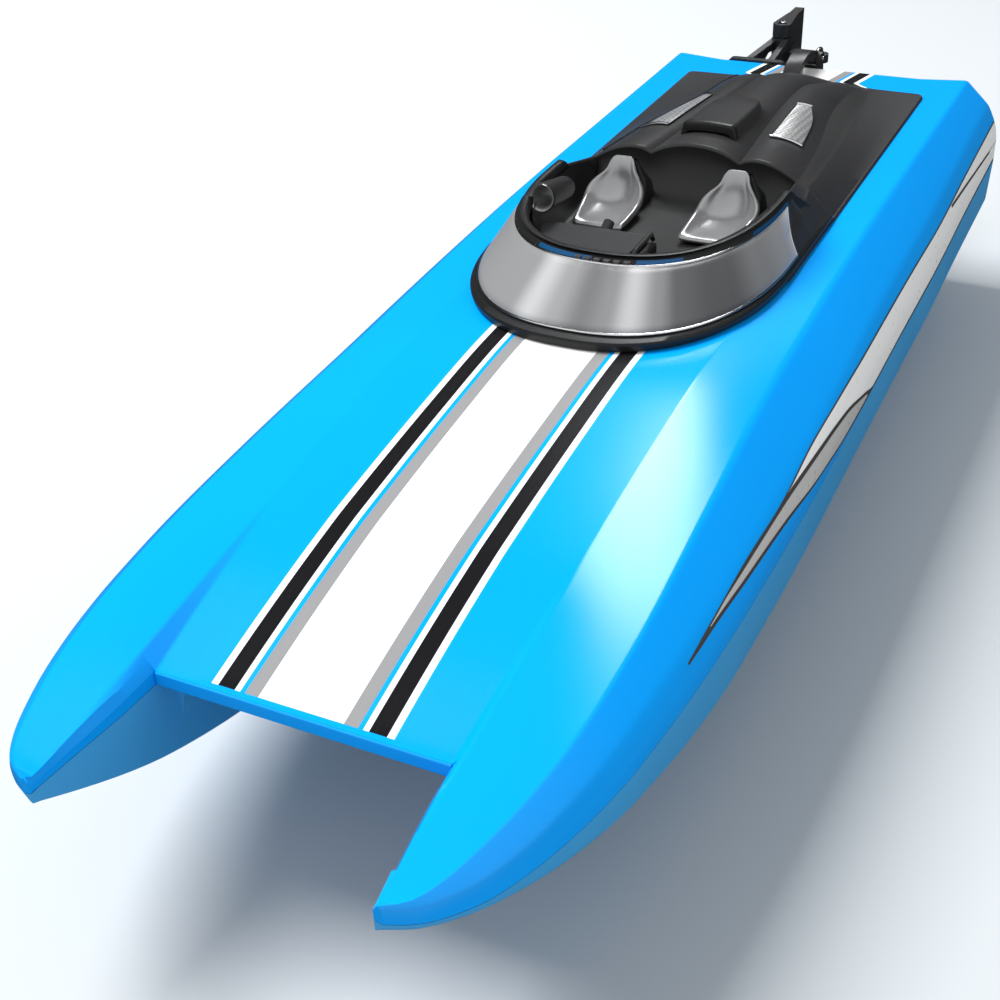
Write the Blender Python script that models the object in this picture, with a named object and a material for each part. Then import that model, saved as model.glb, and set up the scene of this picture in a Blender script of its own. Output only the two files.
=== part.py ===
"""Radio controlled twin-hull racing boat, modelled as separate pieces.

Frame: metres, +X to the bow, +Y to port, +Z up. The origin is on the centreline, on the flat
roof of the tunnel between the hulls, 105 mm ahead of the transom and close to the balance point.
The dimensions below are measured from the transom and the keels; move_origin carries the
finished boat over to its own frame.
"""
import math

import bmesh
import bpy
from mathutils import Matrix, Vector

# ---------------------------------------------------------------- driving dimensions
GAP = 0.0003                 # clearance between neighbouring pieces
WALL = 0.0018                # thickness of the hull mouldings

HULL_LENGTH = 0.2800         # transom to sponson tips
DECK_Z = 0.0400              # height of the flat deck over the keels
BOW_DECK_X = 0.2553          # front edge of the centre deck
DECK_BEND_X = 0.1527         # the deck is flat aft of here and curves down ahead of it
DECK_CURVE = 1.284           # parabola factor of the deck's curve, per metre
CREASE_Y = 0.0260            # inner top edge of each sponson
CHAMFER_ANGLE = math.radians(43)
TUNNEL_Y = 0.0240            # half width of the tunnel between the sponsons
TUNNEL_ROOF_Z = 0.0085       # underside of the tunnel roof at the transom
ORIGIN_X = 0.1050            # the origin lies this far ahead of the transom, on the tunnel roof
TUNNEL_RISE_X = 0.1300       # the roof is level up to here, then rises to the bow
KEEL_RISE_X = 0.2000
CHINE_Z = 0.0100
CHINE_RISE_X = 0.2050

HATCH_X = (0.0340, 0.1460)   # opening in the deck, under the canopy
HATCH_Y = 0.0215

CANOPY_X = 0.0145            # rear edge of the canopy
CANOPY_Y = 0.0302            # half width of the canopy
CANOPY_EDGE_Z = 0.0409       # top of the canopy's outer edge
COCKPIT_X = 0.0970           # rear edge of the cockpit opening, at the three humps
SCREEN_POWER = 2.4           # superellipse power of the windscreen's outline
SCREEN_FOOT = (0.1240, 0.0428, 0.0299, 0.0405)   # centre x, length, half width, height
SCREEN_TOP = (0.1150, 0.0370, 0.0248, 0.0500)
COAMING_Z = 0.0512
CANOPY_LOW = 0.0390          # the canopy is built down to here, then trimmed to the deck
FLOOR_Z = 0.0422             # top of the cockpit floor

SHAFT_Z = 0.0061             # height of the drive axis at the transom
SHAFT_SLOPE = 0.15           # rise of the drive axis per length, forward
SHAFT_RADIUS = 0.0010
PROP_RADIUS = 0.0115
PROP_U = -0.0125             # middle of the propeller along the drive axis
MOTOR_U = (0.1010, 0.1330)
MOTOR_RADIUS = 0.0100

RUDDER_X = -0.0170
RUDDER_Y = -0.0152
TILLER_LENGTH = 0.0110       # rudder axis to pushrod hole, and the same on the servo horn
SERVO_X = 0.0300             # servo output shaft, level with the rudder axis across
ROD_RADIUS = 0.0007
ROD_Z = 0.0354

LATCH_Y = -0.0036
LATCH_WIDTH = 0.0044
LATCH_PIVOT = (-0.0023, LATCH_Y, 0.0420)

SEAT_X = 0.1100
SEAT_Y = 0.0122
INTAKE_RADIUS = 0.0028

DRIVE_FRAME = Matrix.Translation((0, 0, SHAFT_Z)) @ Matrix.Rotation(-math.atan(SHAFT_SLOPE), 4, "Y")
INTAKE_FRAME = (Matrix.Translation((0.1250, -0.0193, 0.0503))
                @ Matrix.Rotation(math.radians(-10), 4, "Y"))


# ---------------------------------------------------------------- general helpers
def clear_scene():
    for item in list(bpy.data.objects):
        bpy.data.objects.remove(item, do_unlink=True)


def material(name, colour, roughness, metallic=0.0):
    made = bpy.data.materials.get(name)
    if made:
        return made
    made = bpy.data.materials.new(name)
    made.use_nodes = True
    shader = made.node_tree.nodes["Principled BSDF"]
    shader.inputs["Base Color"].default_value = (*colour, 1.0)
    shader.inputs["Roughness"].default_value = roughness
    shader.inputs["Metallic"].default_value = metallic
    return made


HULL_BLUE = ("hull blue", (0.005, 0.50, 1.0), 0.25)
LOWER_BLUE = ("lower hull blue", (0.03, 0.22, 0.50), 0.35)
BLACK_GLOSS = ("gloss black", (0.045, 0.045, 0.045), 0.25)
BLACK_PLASTIC = ("black plastic", (0.03, 0.03, 0.03), 0.5)
RUBBER = ("rubber", (0.02, 0.02, 0.02), 0.8)
SILVER = ("silver", (0.62, 0.62, 0.63), 0.25, 1.0)
STEEL = ("steel", (0.6, 0.6, 0.6), 0.3, 1.0)
BRASS = ("brass", (0.75, 0.55, 0.25), 0.3, 1.0)
ALUMINIUM = ("aluminium", (0.7, 0.7, 0.72), 0.35, 1.0)
RED = ("red", (0.6, 0.02, 0.02), 0.45)
BATTERY_WRAP = ("battery wrap", (0.02, 0.10, 0.30), 0.4)


def add_piece(name, bm, look, origin=(0, 0, 0), parent=None):
    """Turn a bmesh, in coordinates relative to origin, into a named object."""
    if bm.calc_volume(signed=True) < 0:
        bmesh.ops.reverse_faces(bm, faces=bm.faces)
    mesh = bpy.data.meshes.new(name)
    bm.to_mesh(mesh)
    bm.free()
    mesh.shade_smooth()
    mesh.set_sharp_from_angle(angle=math.radians(35))
    piece = bpy.data.objects.new(name, mesh)
    piece.location = origin
    piece.parent = parent
    if look:
        mesh.materials.append(material(*look))
    bpy.context.collection.objects.link(piece)
    return piece


def boolean(piece, bm, operation):
    """Join a bmesh shape to a piece, or cut it away, with a hidden tool object."""
    tool = add_piece(f"{piece.name}_tool", bm, None, piece.location, piece.parent)
    tool.hide_render = True
    tool.display_type = "WIRE"
    modifier = piece.modifiers.new("boolean", "BOOLEAN")
    modifier.object = tool
    modifier.operation = operation
    modifier.solver = "EXACT"


def cut(piece, bm):
    boolean(piece, bm, "DIFFERENCE")


def join(piece, bm):
    boolean(piece, bm, "UNION")


def smooth_line(points, x):
    """Monotone cubic through a few (x, value) points."""
    if x <= points[0][0]:
        return points[0][1]
    if x >= points[-1][0]:
        return points[-1][1]
    slopes = [(b[1] - a[1]) / (b[0] - a[0]) for a, b in zip(points, points[1:])]
    tangents = [slopes[0]]
    for before, after in zip(slopes, slopes[1:]):
        tangents.append(0.0 if before * after <= 0 else 2 * before * after / (before + after))
    tangents.append(slopes[-1])
    for index, (a, b) in enumerate(zip(points, points[1:])):
        if x <= b[0]:
            width = b[0] - a[0]
            t = (x - a[0]) / width
            rise = t * t * (3 - 2 * t)
            return (a[1] + (b[1] - a[1]) * rise
                    + width * tangents[index] * t * (1 - t) ** 2
                    - width * tangents[index + 1] * t * t * (1 - t))
    return points[-1][1]


def mix(a, b, t):
    return a + (b - a) * t


def spread(start, end, count):
    return [mix(start, end, index / (count - 1)) for index in range(count)]


def loft(rings):
    """Closed solid through rings of equally many points, with flat end caps."""
    bm = bmesh.new()
    rows = [[bm.verts.new(point) for point in ring] for ring in rings]
    for row, after in zip(rows, rows[1:]):
        count = len(row)
        for index in range(count):
            following = (index + 1) % count
            bm.faces.new((row[index], row[following], after[following], after[index]))
    bm.faces.new(list(reversed(rows[0])))
    bm.faces.new(rows[-1])
    return bm


def prism(outline, low, high, axis="Z"):
    """Extrude a closed 2-D outline from low to high along an axis."""
    def place(point, level):
        if axis == "Z":
            return (point[0], point[1], level)
        if axis == "Y":
            return (point[0], level, point[1])
        return (level, point[0], point[1])
    return loft([[place(point, low) for point in outline], [place(point, high) for point in outline]])


def rectangle(low, high):
    return [(low[0], low[1]), (high[0], low[1]), (high[0], high[1]), (low[0], high[1])]


def block(low, high, bevel=0.0):
    bm = prism(rectangle(low[:2], high[:2]), low[2], high[2])
    if bevel:
        bmesh.ops.bevel(bm, geom=bm.edges[:], offset=bevel, segments=2, affect="EDGES")
    return bm


def arc(centre, radius, start, end, count):
    """Points on a circle arc, angles in degrees."""
    angles = [math.radians(angle) for angle in spread(start, end, count)]
    return [(centre[0] + radius * math.cos(a), centre[1] + radius * math.sin(a)) for a in angles]


def circle(centre, radius, count=20):
    return arc(centre, radius, 0, 360, count + 1)[:-1]


def rounded_rectangle(low, high, radius, count=4):
    points = arc((high[0] - radius, high[1] - radius), radius, 0, 90, count)
    points += arc((low[0] + radius, high[1] - radius), radius, 90, 180, count)
    points += arc((low[0] + radius, low[1] + radius), radius, 180, 270, count)
    points += arc((high[0] - radius, low[1] + radius), radius, 270, 360, count)
    return points


def turned(profile, axis="X", count=20, centre=(0, 0, 0)):
    """Turn a closed profile of (along, radius) points about an axis through centre."""
    bm = bmesh.new()
    turns = {"X": Matrix.Identity(4), "Y": Matrix.Rotation(math.pi / 2, 4, "Z"),
             "Z": Matrix.Rotation(-math.pi / 2, 4, "Y")}
    place = Matrix.Translation(centre) @ turns[axis]
    rings = []
    for along, radius in profile:
        if radius == 0:
            rings.append([bm.verts.new(place @ Vector((along, 0, 0)))])
            continue
        ring = [(along, radius * math.cos(a), radius * math.sin(a))
                for a in (2 * math.pi * index / count for index in range(count))]
        rings.append([bm.verts.new(place @ Vector(point)) for point in ring])
    for ring, after in zip(rings, rings[1:] + rings[:1]):
        for index in range(count):
            following = (index + 1) % count
            corners = [ring[index % len(ring)], ring[following % len(ring)],
                       after[following % len(after)], after[index % len(after)]]
            corners = list(dict.fromkeys(corners))
            if len(corners) > 2:
                bm.faces.new(corners)
    return bm


def tilted(bm):
    """Carry a shape from the drive line's own frame into the boat's frame."""
    bmesh.ops.transform(bm, matrix=DRIVE_FRAME, verts=bm.verts)
    return bm


def rod(start, end, radius):
    """Profile of a solid rod for turned()."""
    return [(start, 0), (start, radius), (end, radius), (end, 0)]


def pipe(start, end, outer, inner):
    """Profile of a pipe for turned()."""
    return [(start, inner), (start, outer), (end, outer), (end, inner)]


def sweep(path, radius, count=8):
    """Round wire along a path of points."""
    points = [Vector(point) for point in path]
    rings = []
    side = None
    for index, point in enumerate(points):
        before = points[max(index - 1, 0)]
        after = points[min(index + 1, len(points) - 1)]
        along = (after - before).normalized()
        side = along.orthogonal().normalized() if side is None else (side - along * side.dot(along))
        side.normalize()
        up = along.cross(side)
        rings.append([point + radius * (math.cos(a) * side + math.sin(a) * up)
                      for a in (2 * math.pi * step / count for step in range(count))])
    return loft(rings)


def bent(points, radius, count=4):
    """Path through points with its corners rounded off."""
    corners = [Vector(point) for point in points]
    path = [corners[0]]
    for before, corner, after in zip(corners, corners[1:], corners[2:]):
        start = corner + (before - corner).normalized() * radius
        end = corner + (after - corner).normalized() * radius
        for t in spread(0, 1, count):
            path.append(start.lerp(corner, t).lerp(corner.lerp(end, t), t))
    return path + [corners[-1]]


# ---------------------------------------------------------------- hull lines
KNUCKLE_Y = [(0.0, 0.0377), (0.10, 0.0373), (0.16, 0.0376), (0.20, 0.0388), (0.225, 0.0393),
             (0.24, 0.0389), (0.25, 0.0381), (0.26, 0.0365), (0.268, 0.0344), (0.274, 0.0323),
             (0.278, 0.0299), (0.28, 0.0266)]
CREASE_Z = [(0.0, 0.0400), (0.15, 0.0400), (0.165, 0.0398), (0.19, 0.0378), (0.28, 0.0256)]
CHAMFER_WIDTH = [(0.0, 0.0079), (0.04, 0.0092), (0.08, 0.0103), (0.16, 0.0104), (0.20, 0.0082),
                 (0.23, 0.0059), (0.25, 0.0047), (0.268, 0.0034), (0.28, 0.0006)]
SIDE_BULGE = [(0.0, 0.0032), (0.04, 0.0028), (0.20, 0.0025), (0.24, 0.0018), (0.26, 0.0010),
              (0.28, 0.0002)]
SEAM_OUTER_Z = [(0.0, 0.0214), (0.235, 0.0214), (0.268, 0.0221), (0.28, 0.0237)]
SEAM_INNER_Z = [(0.0, 0.0214), (0.20, 0.0214), (0.2553, 0.0242), (0.28, 0.0242)]
SPONSON_INNER_Y = [(0.0, TUNNEL_Y), (0.2553, TUNNEL_Y), (0.28, 0.0260)]
TUNNEL_ROOF = [(0.0, TUNNEL_ROOF_Z), (TUNNEL_RISE_X, TUNNEL_ROOF_Z), (BOW_DECK_X, 0.0222)]


def deck_z(x):
    return DECK_Z - DECK_CURVE * max(0.0, min(x, BOW_DECK_X) - DECK_BEND_X) ** 2


def knuckle(x):
    """Outer edge of the sponson's top, where the chamfer begins."""
    drop = 0.0142 * (max(0.0, x - 0.08) / 0.2) ** 1.7
    return smooth_line(KNUCKLE_Y, x), DECK_Z + 0.0008 - drop


def chamfer_foot(x):
    y, z = knuckle(x)
    width = smooth_line(CHAMFER_WIDTH, x)
    return y + width * math.cos(CHAMFER_ANGLE), z - width * math.sin(CHAMFER_ANGLE)


def side_y(x):
    return chamfer_foot(x)[0] + smooth_line(SIDE_BULGE, x)


def chine(x):
    rise = 0.0126 * (max(0.0, x - CHINE_RISE_X) / (HULL_LENGTH - CHINE_RISE_X)) ** 1.5
    return side_y(x) - 0.0006, CHINE_Z + rise


def keel_z(x):
    return 0.0222 * (max(0.0, x - KEEL_RISE_X) / (HULL_LENGTH - KEEL_RISE_X)) ** 2


def inner_y(x):
    return smooth_line(SPONSON_INNER_Y, x)


def both_sides(x, half):
    """Full-width ring at station x from port half points given from keel or seam up."""
    port = [(x, y, z) for y, z in half]
    starboard = [(x, -y, z) for y, z in reversed(half)]
    return port + starboard


def deck_half(x, inset=0.0, drop=0.0):
    """Half section of the deck moulding, from the seam's inner edge round to the centre."""
    foot_y, foot_z = chamfer_foot(x)
    top_y, top_z = knuckle(x)
    seam_z = smooth_line(SEAM_OUTER_Z, x)
    wall = side_y(x) - inset
    crease_z = smooth_line(CREASE_Z, x)
    edge_y = mix(CREASE_Y - 0.0002, TUNNEL_Y - 0.0002, max(0.0, (x - 0.215) / (BOW_DECK_X - 0.215)))
    return [(CREASE_Y - 0.0010, smooth_line(SEAM_INNER_Z, x) - drop),
            (wall, seam_z - drop),
            (wall, mix(foot_z, seam_z, 0.7)),
            (foot_y - inset, foot_z - 0.4 * inset),
            (top_y - 0.4 * inset, top_z - inset),
            (CREASE_Y, crease_z - inset),
            (edge_y, min(deck_z(x), crease_z) - inset)]


def bottom_half(x, inset=0.0, rise=0.0):
    """Half section of the lower moulding, from the tunnel's centre out to the seam."""
    chine_y, chine_z = chine(x)
    keel_inner = inner_y(x) + inset
    keel_outer = keel_inner + min(0.0030, 0.3 * (chine_y - keel_inner))
    roof = smooth_line(TUNNEL_ROOF, x) + inset
    return [(inner_y(x) - 0.0015 + 0.6 * inset, roof),
            (keel_inner, min(keel_z(x) + 0.0060, roof - 0.0002) if x < BOW_DECK_X else roof),
            (keel_inner, keel_z(x) + inset),
            (keel_outer, keel_z(x) + inset),
            (chine_y - inset, chine_z + 0.6 * inset),
            (side_y(x) - inset, smooth_line(SEAM_OUTER_Z, x) - GAP + rise),
            (CREASE_Y - 0.0010, smooth_line(SEAM_INNER_Z, x) - GAP + rise)]


def stations(start, end):
    inside = spread(0.0, 0.12, 4) + [0.14] + spread(0.16, 0.24, 9) + spread(0.245, 0.275, 7) + [0.278]
    return [start] + [x for x in inside if start + 0.001 < x < end - 0.001] + [end]


def bow_notch(inset=0.0):
    """Space between the sponsons ahead of the centre deck; inset widens it."""
    rings = []
    for x in (BOW_DECK_X - inset, 0.268, 0.290):
        middle = inner_y(x) + inset
        crease_z = smooth_line(CREASE_Z, x)
        low_z = mix(deck_z(BOW_DECK_X), 0.0250, min(1.0, (x - BOW_DECK_X) / 0.0247))
        slope = (CREASE_Y + inset - middle) / max(crease_z - low_z, 0.0004)
        top = low_z + 0.0200
        half = [(middle, -0.01), (middle, low_z), (middle + min(slope * 0.02, 0.0122), top)]
        rings.append([(x, y, z) for y, z in half] + [(x, -y, z) for y, z in reversed(half)])
    return loft(rings)


# ---------------------------------------------------------------- hull pieces
def make_deck_shell():
    outer = loft([both_sides(x, deck_half(x)) for x in stations(0.0, HULL_LENGTH)])
    shell = add_piece("deck_shell", outer, HULL_BLUE)
    core = loft([both_sides(x, deck_half(x, WALL, 0.006)) for x in stations(WALL, 0.2535)])
    cut(shell, core)
    for side in (1, -1):
        cut(shell, nose_core(side, deck_nose_half))
    cut(shell, bow_notch())
    cut(shell, prism(hatch_outline(), DECK_Z - 0.006, DECK_Z + 0.004))
    slot = rounded_rectangle((-0.0072, ROD_Z - 0.0011), (-0.0028, ROD_Z + 0.0011), 0.0010, 3)
    cut(shell, prism(slot, -0.002, 0.004, "X"))
    return shell


def deck_nose_half(x):
    """Hollow of one sponson nose inside the deck moulding."""
    half = deck_half(x, WALL, 0.006)
    inner = inner_y(x) + WALL
    return [(inner, half[0][1]), half[1], half[2], half[3], half[4],
            (CREASE_Y + 0.5 * WALL, half[5][1]), (inner, half[5][1] - 0.0025)]


def bottom_nose_half(x):
    """Hollow of one sponson nose inside the lower moulding."""
    half = bottom_half(x, WALL, 0.006)
    inner = inner_y(x) + WALL
    return [(inner, half[2][1]), half[3], half[4], half[5], (inner, half[6][1])]


def nose_core(side, section):
    rings = [[(x, side * y, z) for y, z in section(x)] for x in spread(0.2500, 0.2700, 5)]
    return loft(rings)


def make_hull_bottom():
    outer = loft([both_sides(x, bottom_half(x)) for x in stations(0.0, HULL_LENGTH)])
    shell = add_piece("hull_bottom", outer, LOWER_BLUE)
    core = loft([both_sides(x, bottom_half(x, WALL, 0.006)) for x in stations(WALL, 0.2535)])
    cut(shell, core)
    for side in (1, -1):
        cut(shell, nose_core(side, bottom_nose_half))
    cut(shell, bow_notch())
    cut(shell, tilted(turned(rod(-0.02, 0.06, 0.0020 + GAP), count=16)))
    return shell


def hatch_outline(inset=0.0):
    return rounded_rectangle((HATCH_X[0] + inset, -HATCH_Y + inset), (HATCH_X[1] - inset, HATCH_Y - inset),
                             0.0040 - inset)


def make_hatch_seal():
    """Rubber lining inside the edge of the opening."""
    seal = add_piece("hatch_seal", prism(hatch_outline(GAP), DECK_Z - 0.0017, DECK_Z - 0.0001), RUBBER)
    cut(seal, prism(hatch_outline(GAP + 0.0012), DECK_Z - 0.003, DECK_Z + 0.002))


# ---------------------------------------------------------------- canopy
CENTRE_Z = [(0.0145, 0.0414), (0.019, 0.0440), (0.025, 0.0462), (0.04, 0.0496), (0.063, 0.0512),
            (0.097, 0.0527)]
VALLEY = ([(0.0145, 0.0090), (0.025, 0.0080), (0.04, 0.0062), (0.097, 0.0097)],
          [(0.0145, 0.0412), (0.019, 0.0430), (0.025, 0.0444), (0.04, 0.0478), (0.06, 0.0491),
           (0.097, 0.0500)])
SIDE_CREST = ([(0.0145, 0.0120), (0.04, 0.0098), (0.097, 0.0145)],
              [(0.0145, 0.0412), (0.019, 0.0430), (0.025, 0.0448), (0.04, 0.0480), (0.06, 0.0494),
               (0.097, 0.0508)])
HUMP_FOOT = ([(0.0145, 0.0155), (0.04, 0.0156), (0.08, 0.0207), (0.097, 0.0220)],
             [(0.0145, 0.0411), (0.025, 0.0435), (0.04, 0.0452), (0.097, 0.0477)])
SHELF_LINE = ([(0.0145, 0.0171), (0.06, 0.0221), (0.097, 0.0243)],
              [(0.0145, 0.0411), (0.025, 0.0417), (0.04, 0.0425), (0.06, 0.0437), (0.097, 0.0464)])


def line_at(line, x):
    return smooth_line(line[0], x), smooth_line(line[1], x)


def canopy_half(x, inset=0.0):
    """Half section of the humped rear canopy, from its foot to the centre crest."""
    valley = line_at(VALLEY, x)
    crest = line_at(SIDE_CREST, x)
    centre = smooth_line(CENTRE_Z, x)
    foot = line_at(HUMP_FOOT, x)
    shelf = line_at(SHELF_LINE, x)
    low = CANOPY_LOW - (0.001 if inset else 0.0)
    bend = (0.55 * valley[0], centre - 0.28 * (centre - valley[1]))
    shoulder = (mix(crest[0], foot[0], 0.55), mix(crest[1], foot[1], 0.36))
    half = [(CANOPY_Y - 1.4 * inset, low), (CANOPY_Y - 1.4 * inset, CANOPY_EDGE_Z - inset)]
    for y, z in (shelf, foot, shoulder, crest, valley, bend, (0.0, centre)):
        half.append((y, max(z - inset, low + 0.0001)))
    return half


def canopy_ring(x, inset=0.0):
    half = canopy_half(x, inset)
    return [(x, y, z) for y, z in half] + [(x, -y, z) for y, z in reversed(half[:-1])]


def screen_outline(t, offset, tail_x, z, count=17):
    """Superellipse outline of the windscreen: t 0 at its foot and 1 at its top."""
    centre, length, width, _ = (mix(a, b, t) for a, b in zip(SCREEN_FOOT, SCREEN_TOP))
    power = 2 / SCREEN_POWER
    points = []
    for angle in spread(-math.pi / 2, math.pi / 2, count):
        forward = abs(math.cos(angle)) ** power
        across = math.copysign(abs(math.sin(angle)) ** power, angle)
        points.append((centre + (length + offset) * forward, (width + offset) * across, z))
    half_width = width + offset
    return [(tail_x, -half_width, z)] + points + [(tail_x, half_width, z)]


def screen_t(z):
    return (z - SCREEN_FOOT[3]) / (SCREEN_TOP[3] - SCREEN_FOOT[3])


def front_body():
    """Front of the canopy: rim at the foot, recessed wall behind the windscreen, coaming."""
    recess = -0.0013
    levels = [(CANOPY_LOW, 0.0, 0.0, COCKPIT_X), (0.0414, 0.0, 0.0, COCKPIT_X),
              (0.0417, screen_t(0.0417), -0.0004, 0.0975), (0.0418, screen_t(0.0418), recess, 0.0976),
              (0.0464, screen_t(0.0464), recess, 0.1021), (0.0497, screen_t(0.0497), recess, 0.1075),
              (0.0498, screen_t(0.0498), 0.0002, 0.1076), (COAMING_Z, 1.0, -0.0002, 0.1098)]
    return loft([screen_outline(t, offset, tail, z) for z, t, offset, tail in levels])


def front_core():
    """Hollow under the front of the canopy."""
    levels = [(CANOPY_LOW - 0.001, 0.0), (0.0418, screen_t(0.0418)), (0.0500, 1.0)]
    return loft([screen_outline(t, -0.0023, COCKPIT_X - 0.004, z) for z, t in levels])


def cockpit_hole(offset=0.0, low=0.0380, high=0.0600):
    """Opening over the cockpit: round at the front, straight across at the humps."""
    outline = screen_outline(1.0, -0.0022 + offset, COCKPIT_X - offset, 0.0, 15)
    return prism([(x, y) for x, y, _ in outline], low, high)


def make_canopy_cover():
    xs = [0.0145, 0.016, 0.018, 0.021, 0.025, 0.031, 0.04, 0.05, 0.063, 0.08, COCKPIT_X]
    cover = add_piece("canopy_cover", loft([canopy_ring(x) for x in xs] + [side_wall_ring()]),
                      BLACK_GLOSS)
    join(cover, front_body())
    cut(cover, cockpit_hole())
    cut(cover, intake_clearance())
    core_xs = [0.022, 0.025, 0.031, 0.04, 0.05, 0.063, 0.08, COCKPIT_X - 0.0012]
    cut(cover, loft([canopy_ring(x, 0.0012) for x in core_xs]))
    cut(cover, front_core())
    cut(cover, deck_top(GAP))
    return cover


def deck_top(rise):
    """The deck's outside under the canopy, raised by a clearance."""
    rings = []
    for x in (-0.010, 0.0, 0.04, 0.08, 0.12, 0.14, 0.16, 0.17, 0.18):
        top = deck_half(x)[4:]
        half = [(0.060, CANOPY_LOW - 0.004), (0.060, top[0][1] + rise)] + [(y, z + rise) for y, z in top]
        rings.append(both_sides(x, half))
    return loft(rings)


def side_wall_ring():
    """The humps' last section, carried forward under the cockpit's side walls."""
    return [(x + 0.0130, y, z if abs(y) > 0.0244 else min(z, 0.0464))
            for x, y, z in canopy_ring(COCKPIT_X)]


def make_windshield():
    outer = [screen_outline(screen_t(z), 0.0, mix(0.1200, 0.1150, screen_t(z)), z)
             for z in spread(0.0421, 0.0495, 4)]
    band = add_piece("windshield_band", loft(outer), SILVER)
    inner = [screen_outline(screen_t(z), -0.0008, 0.0900, z) for z in (0.0400, 0.0520)]
    cut(band, loft(inner))


def make_cockpit_tub():
    tub = add_piece("cockpit_tub", cockpit_hole(-GAP, FLOOR_Z - 0.0010, 0.0500), BLACK_PLASTIC)
    cut(tub, cockpit_hole(-GAP - 0.0010, FLOOR_Z, 0.0600))
    cut(tub, intake_clearance())
    return tub


def make_dashboard():
    front = [(x, y) for x, y, _ in screen_outline(1.0, -0.0022 - GAP - 0.0010 - 0.0005, 0.1300, 0.0, 25)
             if x > 0.1300 and y < 0.0050]
    outline = [(0.1300, -0.0180)] + front + [(0.1420, 0.0050), (0.1300, 0.0050)]
    board = add_piece("dashboard", prism(outline, FLOOR_Z + GAP, 0.0470), BLACK_PLASTIC)
    cut(board, block((0.1285, 0.0028, 0.0454), (0.1430, 0.0047, 0.0480)))
    cut(board, block((0.1285, -0.0130, 0.0438), (0.1320, -0.0046, 0.0480)))
    return board


def make_steering_bar():
    bar = turned(rod(-0.0126, -0.0062, 0.0005), "Y", 10, (0.1306, 0, 0.0461))
    piece = add_piece("steering_bar", bar, BLACK_GLOSS)
    knob = turned(rod(-0.0011, 0.0024, 0.0011), "X", 12)
    tilt = Matrix.Translation((0.1292, -0.0062, 0.0466)) @ Matrix.Rotation(0.5, 4, "Y")
    bmesh.ops.transform(knob, matrix=tilt, verts=knob.verts)
    join(piece, knob)


def make_dash_handle():
    grip = bent([(0.1305, 0.00375, 0.0459), (0.1315, 0.00375, 0.0475), (0.1400, 0.00375, 0.0475),
                 (0.1412, 0.00375, 0.0459)], 0.0008)
    add_piece("dash_handle", sweep(grip, 0.0005), BLACK_GLOSS)


def make_seat(name, side):
    """Bucket seat: cushion, shoulders and headrest as one thick lofted shell."""
    rows = [  # middle x, top z, half width, rise of the sides
        (0.0128, 0.0440, 0.0054, 0.0010), (0.0100, 0.0437, 0.0056, 0.0016),
        (0.0040, 0.0434, 0.0056, 0.0024), (0.0000, 0.0446, 0.0054, 0.0028),
        (-0.0016, 0.0470, 0.0050, 0.0022), (-0.0026, 0.0490, 0.0034, 0.0012),
        (-0.0034, 0.0508, 0.0028, 0.0006), (-0.0042, 0.0520, 0.0022, 0.0002)]
    rings = []
    for index, (x, z, half_width, rise) in enumerate(rows):
        before = rows[max(index - 1, 0)]
        after = rows[min(index + 1, len(rows) - 1)]
        along = Vector((after[0] - before[0], 0, after[1] - before[1])).normalized()
        outward = Vector((along.z, 0, -along.x))
        middle = Vector((SEAT_X + x, side * SEAT_Y, z))
        ring = []
        for across in (-1, -0.75, 0.75, 1):
            lift = rise if abs(across) == 1 else 0.0
            ring.append(middle + Vector((0, across * half_width, 0)) + outward * lift)
        for across in (1, -1):
            ring.append(middle + Vector((0, across * half_width * 0.9, 0)) - outward * 0.0009)
        rings.append(ring)
    seat = add_piece(name, loft(rings), SILVER)
    post = block((SEAT_X + 0.0035, side * SEAT_Y - 0.0035, FLOOR_Z + GAP),
                 (SEAT_X + 0.0110, side * SEAT_Y + 0.0035, 0.0432))
    join(seat, post)
    stay = block((SEAT_X - 0.0030, side * SEAT_Y - 0.0018, FLOOR_Z + GAP),
                 (SEAT_X - 0.0008, side * SEAT_Y + 0.0018, 0.0480))
    join(seat, stay)


def intake_clearance():
    """Round space that the intake tube takes out of the coaming and the tub's wall."""
    space = turned(rod(-0.0068, 0.0072, INTAKE_RADIUS + GAP), count=20)
    bmesh.ops.transform(space, matrix=INTAKE_FRAME, verts=space.verts)
    return space


def make_intake():
    tube = turned([(-0.0060, 0), (-0.0060, 0.0022), (0.0054, INTAKE_RADIUS), (0.0062, INTAKE_RADIUS),
                   (0.0062, 0.0026), (0.0010, 0.0017), (0.0010, 0)], "X", 20)
    bmesh.ops.transform(tube, matrix=INTAKE_FRAME, verts=tube.verts)
    add_piece("intake_tube", tube, BLACK_GLOSS)
    liner = turned([(0.0014, 0), (0.0014, 0.0013), (0.0060, 0.0022), (0.0060, 0.0019),
                    (0.0024, 0.0009), (0.0024, 0)], "X", 20)
    bmesh.ops.transform(liner, matrix=INTAKE_FRAME, verts=liner.verts)
    add_piece("intake_liner", liner, SILVER)


def hump_z(x, y):
    """Height of the canopy's humps at a place."""
    half = canopy_half(x)[2:]
    for outer, inner in zip(half, half[1:]):
        if inner[0] <= abs(y) <= outer[0]:
            return mix(inner[1], outer[1], (abs(y) - inner[0]) / (outer[0] - inner[0]))
    return half[-1][1]


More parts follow.
